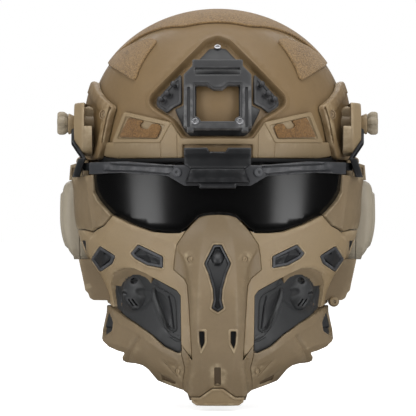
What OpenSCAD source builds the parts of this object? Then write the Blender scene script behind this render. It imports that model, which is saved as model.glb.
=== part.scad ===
// Full-face airsoft helmet: a hard shell with side rails, a flip-up visor, ear cups and a
// lower face mask with two fan pods. Millimetres, +Z up, front towards -Y.
// The origin is the centre of the head at headband level, so every height is measured from it.

/* [Shell] */
// Outside width of the shell
shell_w = 198; // [190:1:204]
// Headband centre to the outside of the forehead
shell_front = 122; // [118:1:126]
// Headband centre to the outside of the back
shell_back = 130; // [124:1:136]
// Height of the crown above the widest level
shell_rise = 87; // [82:1:92]
// Height of the shell's widest level above the headband centre
shell_level = 33; // [30:1:36]
// Wall of the shell
shell_t = 4; // [3:0.5:5]
// Height of the rim at the forehead
rim_front = 4; // [2:0.5:6]
// Height of the rim over the ears
rim_side = 28; // [24:1:32]
// Height of the rim at the nape
rim_back = -50; // [-56:1:-44]
// Depth of the recess that holds the night-vision shroud
recess_depth = 6.5; // [6:0.5:8]
// Thickness of the loop fabric patches
patch_t = 1.5; // [1:0.25:2]
// Height of the rubber edge trim
trim_h = 2.7; // [2:0.1:3]

/* [Rails and pivots] */
// Thickness of the rail covers
rail_t = 5.7; // [4.5:0.1:7]
// Distance from the pivot centre forward of the headband centre
pivot_y = 45; // [42:1:48]
// Height of the visor pivots
pivot_z = 31; // [29:1:33]
// How far the outer face of each pivot flange stands out from the side of the shell
flange_out = 11; // [10:0.5:12.5]
// Radius of the pivot flange below the pivot
flange_r = 25; // [22:1:26]
// Radius of the knob studs
stud_r = 2.5; // [2:0.25:3.5]
// Radial clearance of each running fit
fit_gap = 0.05; // [0.03:0.01:0.09]
// Radius of the thumb knobs
knob_r = 9.5; // [8:0.5:11]
// Length of the thumb knobs
knob_l = 8; // [6:0.5:9]

/* [Visor] */
// Gap between the side of the shell and the outside of the lens at its top edge
lens_gap = 13.5; // [12.5:0.5:14.5]
// How far the lens axis lies forward of the headband centre
lens_y = 12; // [10:1:13]
// How much the lens radius shrinks down to its lower edge
lens_lean = 7; // [4:1:9]
// Thickness of the lens
lens_t = 2.2; // [1.6:0.2:3]
// Thickness of the visor bars
bar_t = 4.2; // [3.4:0.2:5]
// Thickness of the visor arms
arm_t = 2; // [1.6:0.1:2.4]

/* [Mask] */
// How far the mask stands out from the side of the shell
mask_out = 13; // [12:0.5:14]
// Wall of the mask panels
mask_t = 3; // [2.4:0.2:3.6]
// How far the nose ridge stands in front of the cheeks
ridge_out = 16; // [13:1:18]
// Gap between neighbouring panels
seam = 0.4; // [0.3:0.1:0.8]
// Radius of the fan rotors
fan_r = 14; // [12:0.5:15]
// Number of blades on each fan
blade_count = 9; // [5:1:11]

/* [Shroud] */
// Width of the night-vision shroud frame
shroud_w = 51; // [48:1:54]
// Thickness of the shroud frame
shroud_t = 4.5; // [4:0.5:5]
// Angle by which the shroud leans back
shroud_lean = 18; // [16:1:20]

/* [Ears] */
// How far the outer face of each ear cup stands out from the side of the shell
ear_out = 24.5; // [23.5:0.5:26]
// Height of an ear cup
ear_h = 62; // [56:1:64]
// Length of an ear cup, front to back
ear_l = 56; // [50:1:60]
// Radius of the ear arm's hinge pin
pin_r = 1.5; // [1.25:0.25:2]

/* [Headband] */
// Gap between the shell and the headband
liner_gap = 14; // [12:1:16]
// Thickness of the headband
band_t = 2.5; // [2:0.25:3]
// Height of the headband strap
band_h = 20; // [16:1:24]
// Radius of the fit dial
dial_r = 14; // [12:0.5:16]

/* [Hidden] */
$fn = 48;

TAN = [0.65, 0.55, 0.41];
LOOP = [0.62, 0.48, 0.32];
BLACK = [0.15, 0.15, 0.16];
GREY = [0.28, 0.29, 0.31];
STEEL = [0.7, 0.7, 0.72];
FOAM = [0.12, 0.12, 0.13];

seat = 0.3;
shell_a = shell_w / 2;
lens_r = shell_a + lens_gap;
tuck = 0.06;

// Value of column k at height z, in a table whose rows fall in z, joined by smooth curves
function slope_at(table, i, k) =
    let (a = max(i - 1, 0), b = min(i + 1, len(table) - 1))
    (table[b][k] - table[a][k]) / (table[b][0] - table[a][0]);
function row_at(table, z, i = 0) =
    i >= len(table) - 2 || z >= table[i + 1][0] ? i : row_at(table, z, i + 1);
function look_up(table, z, k) =
    z >= table[0][0] ? table[0][k] :
    z <= table[len(table) - 1][0] ? table[len(table) - 1][k] :
    let (i = row_at(table, z), h = table[i + 1][0] - table[i][0], s = (z - table[i][0]) / h)
    (2 * s ^ 3 - 3 * s ^ 2 + 1) * table[i][k] + (s ^ 3 - 2 * s ^ 2 + s) * h * slope_at(table, i, k)
    + (3 * s ^ 2 - 2 * s ^ 3) * table[i + 1][k] + (s ^ 3 - s ^ 2) * h * slope_at(table, i + 1, k);
function blend(a, b, s) = a + (b - a) * s;
function unit(v) = v / norm(v);
function flip(points) = [for (i = [len(points) - 1:-1:0]) [-points[i][0], points[i][1]]];
// The right half of a symmetric outline, closed by its own mirror image
function both_sides(points) = concat(points, [for (p = flip(points)) if (p[0] < 0) p]);
function turn_sum(p) = let (n = len(p))
    [for (i = 0, s = 0; i <= n; s = s + (i < n ? cross(p[i], p[(i + 1) % n]) : 0), i = i + 1) s][n];
// An outline moved inwards by d, or outwards where d is negative
function inset(p, d) = let (n = len(p), w = turn_sum(p) > 0 ? d : -d)
    [for (i = [0:n - 1])
        let (a = unit(p[i] - p[(i + n - 1) % n]), b = unit(p[(i + 1) % n] - p[i]))
        p[i] + w * [-a[1] - b[1], a[0] + b[0]] / (1 + a * b)];

// Share of the full width left at height z: an ellipse above the widest level, a slow taper below
function taper(z, off) = let (s = (z - shell_level) / (shell_rise + off))
    s > 0 ? sqrt(max(0, 1 - s ^ 2)) : 1 - tuck * s ^ 2;
// Surface of the shell at azimuth u from the front and height z
dome = function (u, z, off)
    let (k = taper(z, off))
    [(shell_a + off) * k * sin(u),
     -((cos(u) > 0 ? shell_front : shell_back) + off) * k * cos(u), z];
// Height of latitude t, and the latitude of height z; below the widest level they run evenly
function height_of(t, off) = shell_level + (t > 0 ? (shell_rise + off) * sin(t) : shell_rise * t / 60);
function latitude_of(z, off) = z > shell_level ? asin((z - shell_level) / (shell_rise + off))
    : 60 * (z - shell_level) / shell_rise;
function dome_at(u, t, off) = dome(u, height_of(t, off), off);
// The crown seen from above
crown = function (x, y, off)
    let (b = (y < 0 ? shell_front : shell_back) + off)
    [x, y, shell_level + (shell_rise + off) *
        sqrt(max(0.0004, 1 - (x / (shell_a + off)) ^ 2 - (y / b) ^ 2))];
function azimuth_of(x, z) =
    asin(x / (shell_a * taper(z, 0)));

// Height of the rim by azimuth: level over the brow, high over the ears, low at the nape
RIM = [[180, rim_back], [150, rim_back + 3], [128, rim_back + 26], [108, rim_side - 3],
    [84, rim_side], [66, rim_front + 4], [50, rim_front], [0, rim_front]];
function rim_z(u) = look_up(RIM, abs(u) > 180 ? 360 - abs(u) : abs(u), 1);

// A closed sheet between two offsets of a surface f(u, v, offset), u to the right and v up
module sheet(f, u, v, nu, nv, low, high) {
    row = nu + 1;
    layer = row * (nv + 1);
    points = [for (off = [low, high]) for (j = [0:nv]) for (i = [0:nu])
        f(blend(u[0], u[1], i / nu), blend(v[0], v[1], j / nv), off)];
    tops = [for (j = [0:nv - 1]) for (i = [0:nu - 1]) let (a = j * row + i + layer)
        each [[a, a + row, a + row + 1], [a, a + row + 1, a + 1]]];
    ends = [for (i = [0:nu - 1]) let (b = nv * row + i)
        each [[i, i + layer, i + layer + 1], [i, i + layer + 1, i + 1],
              [b, b + 1, b + 1 + layer], [b, b + 1 + layer, b + layer]]];
    sides = [for (j = [0:nv - 1]) let (c = j * row, d = j * row + nu)
        each [[c, c + row, c + row + layer], [c, c + row + layer, c + layer],
              [d, d + layer, d + layer + row], [d, d + layer + row, d + row]]];
    backs = [for (t = tops) [t[0] - layer, t[2] - layer, t[1] - layer]];
    polyhedron(points, concat(tops, backs, ends, sides));
}

// A closed ring between two offsets of f(u, v, offset), all the way round in u
module ring_sheet(f, nu, nv, low, high) {
    layer = nu * (nv + 1);
    points = [for (off = [low, high]) for (j = [0:nv]) for (i = [0:nu - 1])
        f(360 * i / nu, j / nv, off)];
    tops = [for (j = [0:nv - 1]) for (i = [0:nu - 1])
        let (a = layer + j * nu + i, b = layer + j * nu + (i + 1) % nu)
        each [[a, a + nu, b + nu], [a, b + nu, b]]];
    backs = [for (t = tops) [t[0] - layer, t[2] - layer, t[1] - layer]];
    ends = [for (i = [0:nu - 1]) let (n = (i + 1) % nu, t = nv * nu)
        each [[i, i + layer, n + layer], [i, n + layer, n],
              [t + i, t + n, t + n + layer], [t + i, t + n + layer, t + i + layer]]];
    polyhedron(points, concat(tops, backs, ends));
}

// A solid cap over the rim: rings from the foot up to one point at the crown
module cap(nu, nv, off, foot) {
    rings = [for (j = [0:nv - 1]) for (i = [0:nu - 1])
        let (u = 360 * i / nu, t = blend(foot(u, off), 90, j / nv)) dome_at(u, t, off)];
    top = nu * nv;
    points = concat(rings, [[0, 0, shell_level + shell_rise + off]],
        [[0, 0, min([for (p = rings) p[2]]) - 0.01]]);
    wall = [for (j = [0:nv - 2]) for (i = [0:nu - 1])
        let (a = j * nu + i, b = j * nu + (i + 1) % nu)
        each [[a, a + nu, b + nu], [a, b + nu, b]]];
    lid = [for (i = [0:nu - 1]) [(nv - 1) * nu + i, top, (nv - 1) * nu + (i + 1) % nu]];
    base = [for (i = [0:nu - 1]) [i, (i + 1) % nu, top + 1]];
    polyhedron(points, concat(wall, lid, base));
}

// The open shell wall: outer and inner rings that meet at the rim
module dome_wall(nu, nv) {
    one = nu * nv;
    rings = [for (off = [0, -shell_t]) for (j = [0:nv - 1]) for (i = [0:nu - 1])
        let (u = 360 * i / nu)
        dome_at(u, blend(latitude_of(rim_z(u), off), 90, j / nv), off)];
    points = concat(rings, [[0, 0, shell_level + shell_rise],
        [0, 0, shell_level + shell_rise - shell_t]]);
    wall = [for (j = [0:nv - 2]) for (i = [0:nu - 1])
        let (a = j * nu + i, b = j * nu + (i + 1) % nu)
        each [[a, a + nu, b + nu], [a, b + nu, b],
              [a + one, b + nu + one, a + nu + one], [a + one, b + one, b + nu + one]]];
    lid = [for (i = [0:nu - 1]) let (a = (nv - 1) * nu + i, b = (nv - 1) * nu + (i + 1) % nu)
        each [[a, 2 * one, b], [a + one, b + one, 2 * one + 1]]];
    rim = [for (i = [0:nu - 1]) let (b = (i + 1) % nu)
        each [[i, b, b + one], [i, b + one, i + one]]];
    polyhedron(points, concat(wall, lid, rim));
}

// Cutters: an outline in the front view pushed back, and one in the side view pushed across
module front_prism(points, from = -175, to = -5)
    translate([0, to, 0]) rotate([90, 0, 0]) linear_extrude(to - from) polygon(points);
module side_prism(points, from, to)
    translate([from, 0, 0]) rotate([90, 0, 90]) linear_extrude(to - from) polygon(points);
module mirror_x(on) mirror([on ? 1 : 0, 0, 0]) children();
module pair() for (side = [0, 1]) mirror([side, 0, 0]) children();

// A cap screw along +Z: its head stands on z = 0 and its shank goes below
module cap_screw(head_r, head_h, shank_r, shank_l) {
    difference() {
        cylinder(r = head_r, h = head_h);
        translate([0, 0, head_h * 0.4]) cylinder(r = head_r * 0.55, h = head_h, $fn = 6);
    }
    translate([0, 0, -shank_l]) cylinder(r = shank_r, h = shank_l);
}
// Puts a +Z piece on the dome at front-view place x, z, standing out by off
module on_dome(x, z, off) {
    p = dome(azimuth_of(x, z), z, off);
    n = unit([p[0] / shell_a ^ 2, p[1] / shell_front ^ 2, (z - shell_level) / shell_rise ^ 2]);
    translate(p) rotate([0, acos(n[2]), atan2(n[1], n[0])]) children();
}

// Shell

// Lip of the shroud recess, right half, from the crown down to the brow
RECESS = [[0, 97], [9, 94], [50, 52], [52, 47], [50, 42], [34, 32], [25, 19], [0, 19]];
recess_wall = 3;
module dome_block(off) cap(36, 11, off, function (u, o) -24);
// Patches of the dome's skin on one shared grid, so what lies in the recess follows its floor
skin_turn = 10;
skin_low = 12;
skin_step = 10.2;
module skin(u, j, low, high) sheet(dome, u * skin_turn, [for (k = j) skin_low + k * skin_step],
    u[1] - u[0], j[1] - j[0], low, high);
module recess_skin(low, high) skin([-6, 6], [0, 9], low, high);

module helmet_shell() color(TAN) difference() {
    union() {
        dome_wall(36, 10);
        intersection() {
            recess_skin(-recess_depth - recess_wall, -0.7);
            front_prism(inset(both_sides(RECESS), -recess_wall), to = -30);
        }
    }
    intersection() {
        recess_skin(-recess_depth, 9);
        front_prism(both_sides(RECESS), to = -30);
    }
}

trim_out = 0.9;
rim_bead = function (u, h, off)
    dome(u, rim_z(u) - trim_h - seat + h * trim_h, off);
module edge_trim() color(BLACK) ring_sheet(rim_bead, 36, 1, -shell_t - trim_out, trim_out);

// Brow band with its two raised corner frames
brow_t = 3.5;
brow_top = 16.5;
brow_low = rim_front;
BROW = concat([[0, 14], [26, 14], [26, brow_low]],
    [for (u = [50:10:70]) [shell_a * sin(u), rim_z(u)]],
    [[shell_a, brow_top], [78, brow_top], [69, 39], [34.7, 30.8], [26.5, 18.5], [0, 18.5]]);
BROW_FRAME = [[69, 39], [34, 30.5], [42, 15.5], [78, 16]];
frame_edge = 2.5;
module brow_band() color(TAN) difference() {
    intersection() {
        sheet(dome, [-84, 84], [rim_front - 3, 42], 28, 5, seat, brow_t);
        front_prism(both_sides(BROW));
    }
    side_prism(inset(RAIL_SIDE, -seat), -120, 120);
    pair() intersection() {
        sheet(dome, [10, 70], [12, 42], 8, 3, brow_t - patch_t, brow_t + 4);
        front_prism(inset(BROW_FRAME, frame_edge));
    }
}
module brow_patches() color(LOOP) pair() intersection() {
    sheet(dome, [10, 70], [12, 42], 8, 3, brow_t - patch_t + 0.2, brow_t - 0.1);
    front_prism(BROW_PATCH);
}
BROW_PATCH = [[65.5, 34.8], [54, 32], [57, 29], [55.5, 26.5], [51, 25.5], [48, 30], [43, 29.5],
    [41, 27], [44, 19], [72.5, 20]];

// Loop patches on the crown and beside it
patch_lift = 0.5;
CROWN_PATCH = [[0, -63], [25, -63], [38, -52], [60, -35], [76, -25], [84, -12], [84, 10],
    [62, 24], [0, 28]];
SIDE_PATCH = [[68, 91], [52, 96], [45, 94], [53, 83], [59, 72], [62, 62], [83, 76], [85, 80]];
module crown_prism(grown) translate([0, 0, shell_level]) linear_extrude(shell_rise + 20)
    offset(delta = grown) polygon(concat(CROWN_PATCH, [for (i = [len(CROWN_PATCH) - 1:-1:0])
        [-CROWN_PATCH[i][0], CROWN_PATCH[i][1]]]));
module crown_patch() color(LOOP) intersection() {
    sheet(crown, [-86, 86], [-64, 30], 14, 6, patch_lift, patch_lift + patch_t);
    crown_prism(0);
}
module side_patches() color(LOOP) pair() difference() {
    intersection() {
        sheet(dome, [25, 88], [60, 97], 8, 6, patch_lift, patch_lift + patch_t);
        front_prism(SIDE_PATCH);
    }
    crown_prism(seam);
}

// Rails

// The cover seen from the side, and the flange that carries the pivot
rail_low = 3.5;
RAIL_SIDE = [[-27, 63], [-78, 43], [-67, 16], [-57, rail_low], [58, rail_low], [90, 20], [94, 46],
    [46, 63]];
flange_x = shell_a + flange_out;
flange_top = 16;
pin_x = flange_x - 2.5;
pin_z = 3;
lug_y = [10, 38];
lug_w = 4;
lug_r = 3.5;
flange_tail = 38;
module flange_outline() intersection() {
    union() {
        circle(r = flange_r, $fn = 48);
        polygon([[0, -flange_r], [flange_tail - 14, 4 - flange_r], [flange_tail, -6],
            [flange_tail, 6], [flange_tail - 9, flange_top], [0, flange_top]]);
    }
    translate([-flange_r, -flange_r]) square([flange_r + flange_tail, flange_r + flange_top]);
}
module at_pivot(x) translate([x, -pivot_y, pivot_z]) rotate([90, 0, 90]) children();
// The flange's front edge is a cone about the pivot, wide at the plate's inner face, and its
// lower edge runs on straight back at the same slope
plate_t = 8;
cone_low = flange_r + 2;
cone_top = 15;
cone_slope = (cone_low - cone_top) / plate_t;
block_l = 14;
block_top = -2;
module flange_plate() intersection() {
    linear_extrude(plate_t) flange_outline();
    union() {
        cylinder(r1 = cone_low, r2 = cone_top, h = plate_t, $fn = 48);
        rotate([90, 0, 90]) linear_extrude(flange_tail)
            polygon([[-cone_low, 0], [-cone_top, plate_t], [flange_top + 1, plate_t],
                [flange_top + 1, 0]]);
    }
}
RAIL_SCREW = [82.3, 37.5];
screw_hole = 1.7;
rail_sink = 1.2;
// The floor of the rail screw's seat, with +Z out of the cover
module at_rail_screw() on_dome(RAIL_SCREW[0], RAIL_SCREW[1], rail_t + seat - rail_sink) children();
module rail(on, $fn = 40) mirror_x(on) color(TAN) difference() {
    union() {
        intersection() {
            sheet(dome, [36, 140], [2, 64], 20, 6, trim_out + seat, rail_t + seat);
            side_prism(RAIL_SIDE, 40, flange_x);
        }
        difference() {
            union() {
                at_pivot(flange_x - plate_t) flange_plate();
                at_pivot(flange_x - block_l) linear_extrude(block_l - plate_t + 1) intersection() {
                    flange_outline();
                    translate([-flange_r, -flange_r])
                        square([flange_r + flange_tail, flange_r + block_top]);
                }
                at_pivot(flange_x - block_l - 2) cylinder(r = 8, h = block_l + 1);
            }
            dome_block(brow_t + seat);
        }
        for (y = [lug_y[0], lug_y[1] - lug_w]) translate([pin_x, y, pin_z]) rotate([-90, 0, 0]) {
            cylinder(r = lug_r, h = lug_w);
            translate([-lug_r * 2, -lug_r * 2, 0]) cube([lug_r * 2, lug_r * 3, lug_w]);
        }
        translate([pin_x, lug_y[0] + 1, pin_z]) rotate([-90, 0, 0])
            cylinder(r = pin_r, h = lug_y[1] - lug_y[0] - 2);
    }
    at_pivot(shell_a - 4) cylinder(r = stud_r + fit_gap, h = 60);
    at_rail_screw() {
        cylinder(r = 3, h = 6);
        translate([0, 0, -2.8]) cylinder(r = screw_hole, h = 4);
    }
}
module rail_screws() color(TAN) pair() at_rail_screw()
    translate([0, 0, 0.1]) cap_screw(2.7, rail_sink, 1.4, 2.4);

// Night-vision shroud: a base that follows the recess and a flat frame over it

base_t = 1.6;
frame_z = 24;
frame_y = shell_front + 6.3;
module shroud_plane() translate([0, -frame_y, frame_z]) rotate([90 - shroud_lean, 0, 0]) children();
frame_x = shroud_w / 2;
window_x = 17;
SHROUD_FIX = [[16.5, 31.5], [-16.5, 31.5], [0, 88]];
BASE = [[0, 91], [6.5, 90.5], [16, 80], [24, 70], [27, 60], [27, 44], [34, 41], [32, 36], [26, 24],
    [22, 20.5], [0, 20.5]];
module shroud_base() color(BLACK) difference() {
    union() {
        intersection() {
            skin([-2, 2], [0, 8], seat - recess_depth, base_t - recess_depth);
            front_prism(both_sides(BASE), to = -50);
        }
        difference() {
            shroud_plane() for (x = [-1, 1]) for (y = BOSSES)
                translate([x * (frame_x - 5), y, -shroud_t - 20]) cylinder(r = 4, h = 19.8);
            dome_block(1 - recess_depth);
        }
    }
    front_prism([[-window_x, 29], [window_x, 29], [window_x, 60], [-window_x, 60]], to = -50);
    for (p = SHROUD_FIX) on_dome(p[0], p[1], 0)
        translate([0, 0, -recess_depth]) cylinder(r = screw_hole, h = 12);
}
BOSSES = [9, 40];
// The frame in its own plane: x across, y up the slope
FRAME_OUT = [[18, 0], [23, 0], [23, 3], [frame_x, 4], [frame_x, 45], [19, 52], [19, 57], [0, 57]];
FRAME_SCREW = [16.8, 7.6];
screw_sink = 1.3;
module shroud_frame() color(BLACK) shroud_plane() translate([0, 0, -shroud_t]) difference() {
    union() {
        difference() {
            linear_extrude(shroud_t) polygon(both_sides(concat([[0, 2], [18, 2]], FRAME_OUT)));
            translate([-window_x, 8, -1]) linear_extrude(shroud_t + 2)
                polygon([[0, 0], [2 * window_x, 0], [2 * window_x, 29], [window_x + 8, 29],
                    [window_x + 3.5, 25.5], [window_x - 3.5, 25.5], [window_x - 8, 29], [0, 29]]);
        }
        for (x = [-1, 1]) translate([x * FRAME_SCREW[0], FRAME_SCREW[1], 0])
            cylinder(r = 4.2, h = shroud_t - 0.1);
    }
    for (x = [-1, 1]) translate([x * (frame_x - 3.7), 18, shroud_t - 1.2]) linear_extrude(2)
        square([2.2, 34], center = true);
    translate([-17, 45, -1]) cube([34, 5.5, shroud_t + 2]);
    for (x = [-1, 1]) translate([x * FRAME_SCREW[0], FRAME_SCREW[1], -1]) {
        cylinder(r = screw_hole, h = shroud_t + 2);
        translate([0, 0, shroud_t + 1 - screw_sink]) cylinder(r = 3.1, h = 4);
    }
}
module shroud_screws() color(STEEL) {
    shroud_plane() for (x = [-1, 1]) translate([x * FRAME_SCREW[0], FRAME_SCREW[1], 0.05 - screw_sink])
        cap_screw(2.8, screw_sink - 0.2, 1.5, shroud_t - screw_sink);
    on_dome(0, 88, 0) translate([0, 0, base_t - recess_depth + 0.3]) cap_screw(2.6, 1.3, 1.5, 1.5);
}
ANCHOR = [[29, 69], [34, 64.5], [47.5, 49.5], [48.5, 46], [47.5, 43], [40, 38], [35.5, 42],
    [28.5, 45.5], [28.5, 60]];
BALLS = [[42.5, 47], [38, 51], [33, 57.5]];
module lanyard_anchors() color(BLACK) pair() {
    intersection() {
        skin([1, 4], [2, 6], seat - recess_depth, 2.5 - recess_depth);
        front_prism(ANCHOR, to = -50);
    }
    for (p = BALLS) on_dome(p[0], p[1], 2 - recess_depth) {
        cylinder(r = 1.6, h = 5.5);
        translate([0, 0, 5.5]) sphere(r = 2.4, $fn = 24);
    }
}

// Liner: pads, headband and fit dial

pad_out = -shell_t - 1.3;
pad_in = -shell_t - liner_gap + seat;
// A pad's face towards the head is crowned: full in the middle, drawn in to the edges
pad_drawn = 6;
function swell(s) = 1 - (2 * s - 1) ^ 4;
function crowned(f, u, v, low, drawn) = function (a, b, off)
    off > low ? f(a, b, off) :
    f(a, b, off + drawn * (1 - swell((a - u[0]) / (u[1] - u[0])) * swell((b - v[0]) / (v[1] - v[0]))));
module cushion(f, u, v, nu, nv, low, high, drawn = pad_drawn)
    sheet(crowned(f, u, v, low, drawn), u, v, nu, nv, low, high);
module pad_crown() color(FOAM) cushion(crown, [-38, 38], [-40, 50], 6, 6, pad_in, pad_out);
module pad_front() color(FOAM)
    cushion(dome, [-32, 32], [20, 52], 8, 4, pad_in, -recess_depth - recess_wall - 1, 4);
module pad_rear() color(FOAM) cushion(dome, [150, 210], [-28, 24], 6, 4, pad_in, pad_out + 0.6);
module side_pads() color(FOAM) pair()
    cushion(dome, [66, 104], [36, 72], 6, 4, pad_in, pad_out);
band_front = 12;
band_back = -34;
function band_z(u) = blend(band_front, band_back, (1 - cos(u)) / 2);
strap = function (u, h, off) dome(u, band_z(u) + (h - 0.5) * band_h, off);
band_off = -shell_t - liner_gap;
module headband() color(GREY) union() {
    ring_sheet(strap, 36, 1, band_off - band_t, band_off);
    for (u = [52, 143, 217, 308]) sheet(dome, [u - 5, u + 5],
        [max(band_z(u) - 6, max(rim_z(u - 5), rim_z(u + 5)) + 1), band_z(u) + 24], 2, 2,
        band_off - band_t * 0.6, pad_out);
}
dial_z = rim_back - 19;
rear_y = dome(180, band_back - band_h / 2, band_off)[1];
house_t = 12;
module dial_housing() color(GREY) difference() {
    union() {
        translate([0, rear_y - 2, dial_z]) rotate([-90, 0, 0]) linear_extrude(house_t)
            offset(r = 5) square([2 * dial_r + 6, 2 * dial_r - 4], center = true);
        sheet(dome, [174, 186], [dial_z + dial_r + 1.5, band_back + 4], 2, 2, band_off + seat,
            band_off + 3);
    }
    translate([0, rear_y + 1, dial_z]) rotate([-90, 0, 0]) cylinder(r = 3 + fit_gap, h = 30);
}
module dial_knob() color(BLACK) translate([0, rear_y - 2 + house_t + seat, dial_z])
    rotate([-90, 0, 0]) {
        difference() {
            cylinder(r = dial_r, h = 7);
            for (a = [0:20:340]) rotate(a) translate([dial_r + 1, 0, -1])
                cylinder(r = 2, h = 9, $fn = 16);
            translate([0, 0, 5.5]) cylinder(r = dial_r - 4, h = 3);
        }
        translate([0, 0, -house_t + 4]) cylinder(r = 3, h = house_t - 3);
    }
module nape_pad() color(FOAM) translate([0, rear_y - 2 - seat, dial_z])
    rotate([90, 0, 0]) linear_extrude(8) offset(r = 6) square([50, 18], center = true);

// Visor

visor_top = 0.5;
bar_end = 0.871 * lens_r;
BAR = [[0, -1.5], [35, -1.5], [70, 1.5], [bar_end, 1], [bar_end, -8], [75, -7], [38, -9.5],
    [25, -17], [0, -17]];
LENS_LOW = [[95, -9], [94, -21], [90, -28], [81, -38], [66, -45], [50, -50.5], [40, -51.5],
    [29, -51.5], [24, -49], [19, -44], [14, -39], [8, -37.5], [0, -37]];
module visor_round(r_top, r_low, low, high)
    translate([0, -lens_y, low]) cylinder(r1 = r_low, r2 = r_top, h = high - low, $fn = 128);
module visor_lens() color([0.03, 0.03, 0.03]) intersection() {
    difference() {
        visor_round(lens_r, lens_r - lens_lean, -54, visor_top);
        visor_round(lens_r - lens_t, lens_r - lens_lean - lens_t, -54.01, visor_top + 0.01);
    }
    front_prism(inset(lens_outline(), seam), to = -30);
}
// The lens's top edge dips behind the centre bracket, so that it clears the shroud when it lifts
LENS_TOP = [[0, -11], [27, -11], [31, visor_top - 1], [95, visor_top - 1]];
function lens_outline() = both_sides(concat(LENS_TOP, LENS_LOW));
bar_r = lens_r + seat;
module visor_bar(on) mirror_x(on) color(BLACK) difference() {
    intersection() {
        visor_round(bar_r + bar_t, bar_r + bar_t, -20, 4);
        front_prism(BAR, to = -30);
        translate([seam / 2, -200, -100]) cube([200, 200, 200]);
    }
    visor_round(bar_r, bar_r, -21, 5);
    for (z = [-2.4, -5.6]) difference() {
        translate([40, -200, z - 0.5]) cube([52, 170, 1]);
        visor_round(bar_r + bar_t - 1, bar_r + bar_t - 1, -21, 5);
    }
    visor_screw_place() translate([0, 0, -6]) cylinder(r = screw_hole, h = 12);
}
module visor_screw_place() translate([0, -lens_y, -7]) rotate([90, 0, 15])
    translate([0, 0, bar_r + bar_t]) children();
module visor_screws() color(STEEL) {
    pair() visor_screw_place() translate([0, 0, 0.05]) cap_screw(3.3, 1.4, 1.5, bar_t - 0.3);
}
BRACKET = [[0, -19], [14, -19], [14, -16], [24.5, -16], [24.5, -13], [20.5, -4], [25.5, -1.5],
    [25.5, 11.5], [8, 11.5], [6, 8.5], [0, 8.5]];
bracket_t = 4;
module visor_centre() color(BLACK) difference() {
    intersection() {
        visor_round(bar_r + bar_t + bracket_t, bar_r + bar_t + bracket_t, -20, 13);
        front_prism(both_sides(BRACKET), to = -100);
    }
    visor_round(bar_r + bar_t + 0.1, bar_r + bar_t + 0.1, -21, 14);
    for (z = [4.5]) difference() {
        translate([-20, -200, z - 0.5]) cube([40, 100, 1]);
        visor_round(bar_r + bar_t + bracket_t - 1, bar_r + bar_t + bracket_t - 1, -21, 14);
    }
}
// Arms: an eye at the pivot, a stem outside the flange and a foot behind the end of the bar
arm_x = flange_x + seat;
eye_r = 5;
collar_r = 7;
foot_low = -10;
foot_y = [-pivot_y - 20, -pivot_y - 6];
ARM = [[-5, 0], [-17, -35], [-20, foot_low - pivot_z], [-6, foot_low - pivot_z], [5, -3]];
// The foot in the front view: it leans out from the end of the bar
FOOT = [[flange_x - 9, 5], [flange_x - 3.3, 4], [flange_x + 1.1, foot_low], [flange_x - 4.2, foot_low]];
arm_gap = 0.9;
module visor_arm(on) mirror_x(on) color(BLACK) difference() {
    union() {
        at_pivot(arm_x) cylinder(r = eye_r, h = arm_t);
        at_pivot(arm_x) intersection() {
            linear_extrude(arm_t) polygon(ARM);
            cylinder(r = cone_top + 2, h = arm_t);
        }
        intersection() {
            at_pivot(flange_x - plate_t) difference() {
                cylinder(r1 = cone_low + arm_gap + 3.6, r2 = cone_top + arm_gap + 0.15,
                    h = plate_t + seat + arm_t);
                translate([0, 0, -0.01])
                    cylinder(r1 = cone_low + arm_gap, r2 = cone_top + arm_gap - cone_slope * seat,
                        h = plate_t + seat + 0.01);
            }
            at_pivot(flange_x - plate_t - 1) linear_extrude(plate_t + 4) polygon(ARM);
        }
        difference() {
            front_prism(FOOT, from = foot_y[0], to = foot_y[1]);
            at_pivot(90) cylinder(r = cone_low, h = 40);
        }
        intersection() {
            difference() {
                visor_round(bar_r - 0.4, bar_r - 0.4, -5, 1);
                visor_round(bar_r - 4, bar_r - 4, -6, 2);
            }
            translate([bar_end - 3, foot_y[0] - 10, -5]) cube([9, 24, 6]);
        }
    }
    at_pivot(arm_x - 1) cylinder(r = stud_r + fit_gap, h = arm_t + 2);
}
module pivot_collar(on) mirror_x(on) color(TAN) difference() {
    at_pivot(arm_x) cylinder(r1 = collar_r - 0.7, r2 = collar_r + 1, h = arm_t + 2.6);
    at_pivot(arm_x - 1) cylinder(r = eye_r + 0.3, h = arm_t + 1.3);
    at_pivot(arm_x - 1) linear_extrude(arm_t + 1.3) polygon(inset(ARM, -0.4));
    at_pivot(arm_x - 1) cylinder(r = stud_r + fit_gap, h = 10);
}
knob_x = arm_x + arm_t + 2.6 + seat;
lobes = 5;
module thumb_knob(on) mirror_x(on) color(TAN) union() {
    difference() {
        at_pivot(knob_x) union() {
            cylinder(r = knob_r - 3, h = knob_l);
            for (i = [0:lobes - 1]) rotate(i * 360 / lobes + 90) translate([knob_r - 3, 0, 0])
                cylinder(r = 3, h = knob_l);
        }
        at_pivot(knob_x + knob_l + 9) sphere(r = 11);
    }
    at_pivot(shell_a + 1.5) cylinder(r = stud_r, h = knob_x - shell_a - 1);
}

// Mask

mask_a = shell_a + mask_out;
mask_y = 20;
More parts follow.
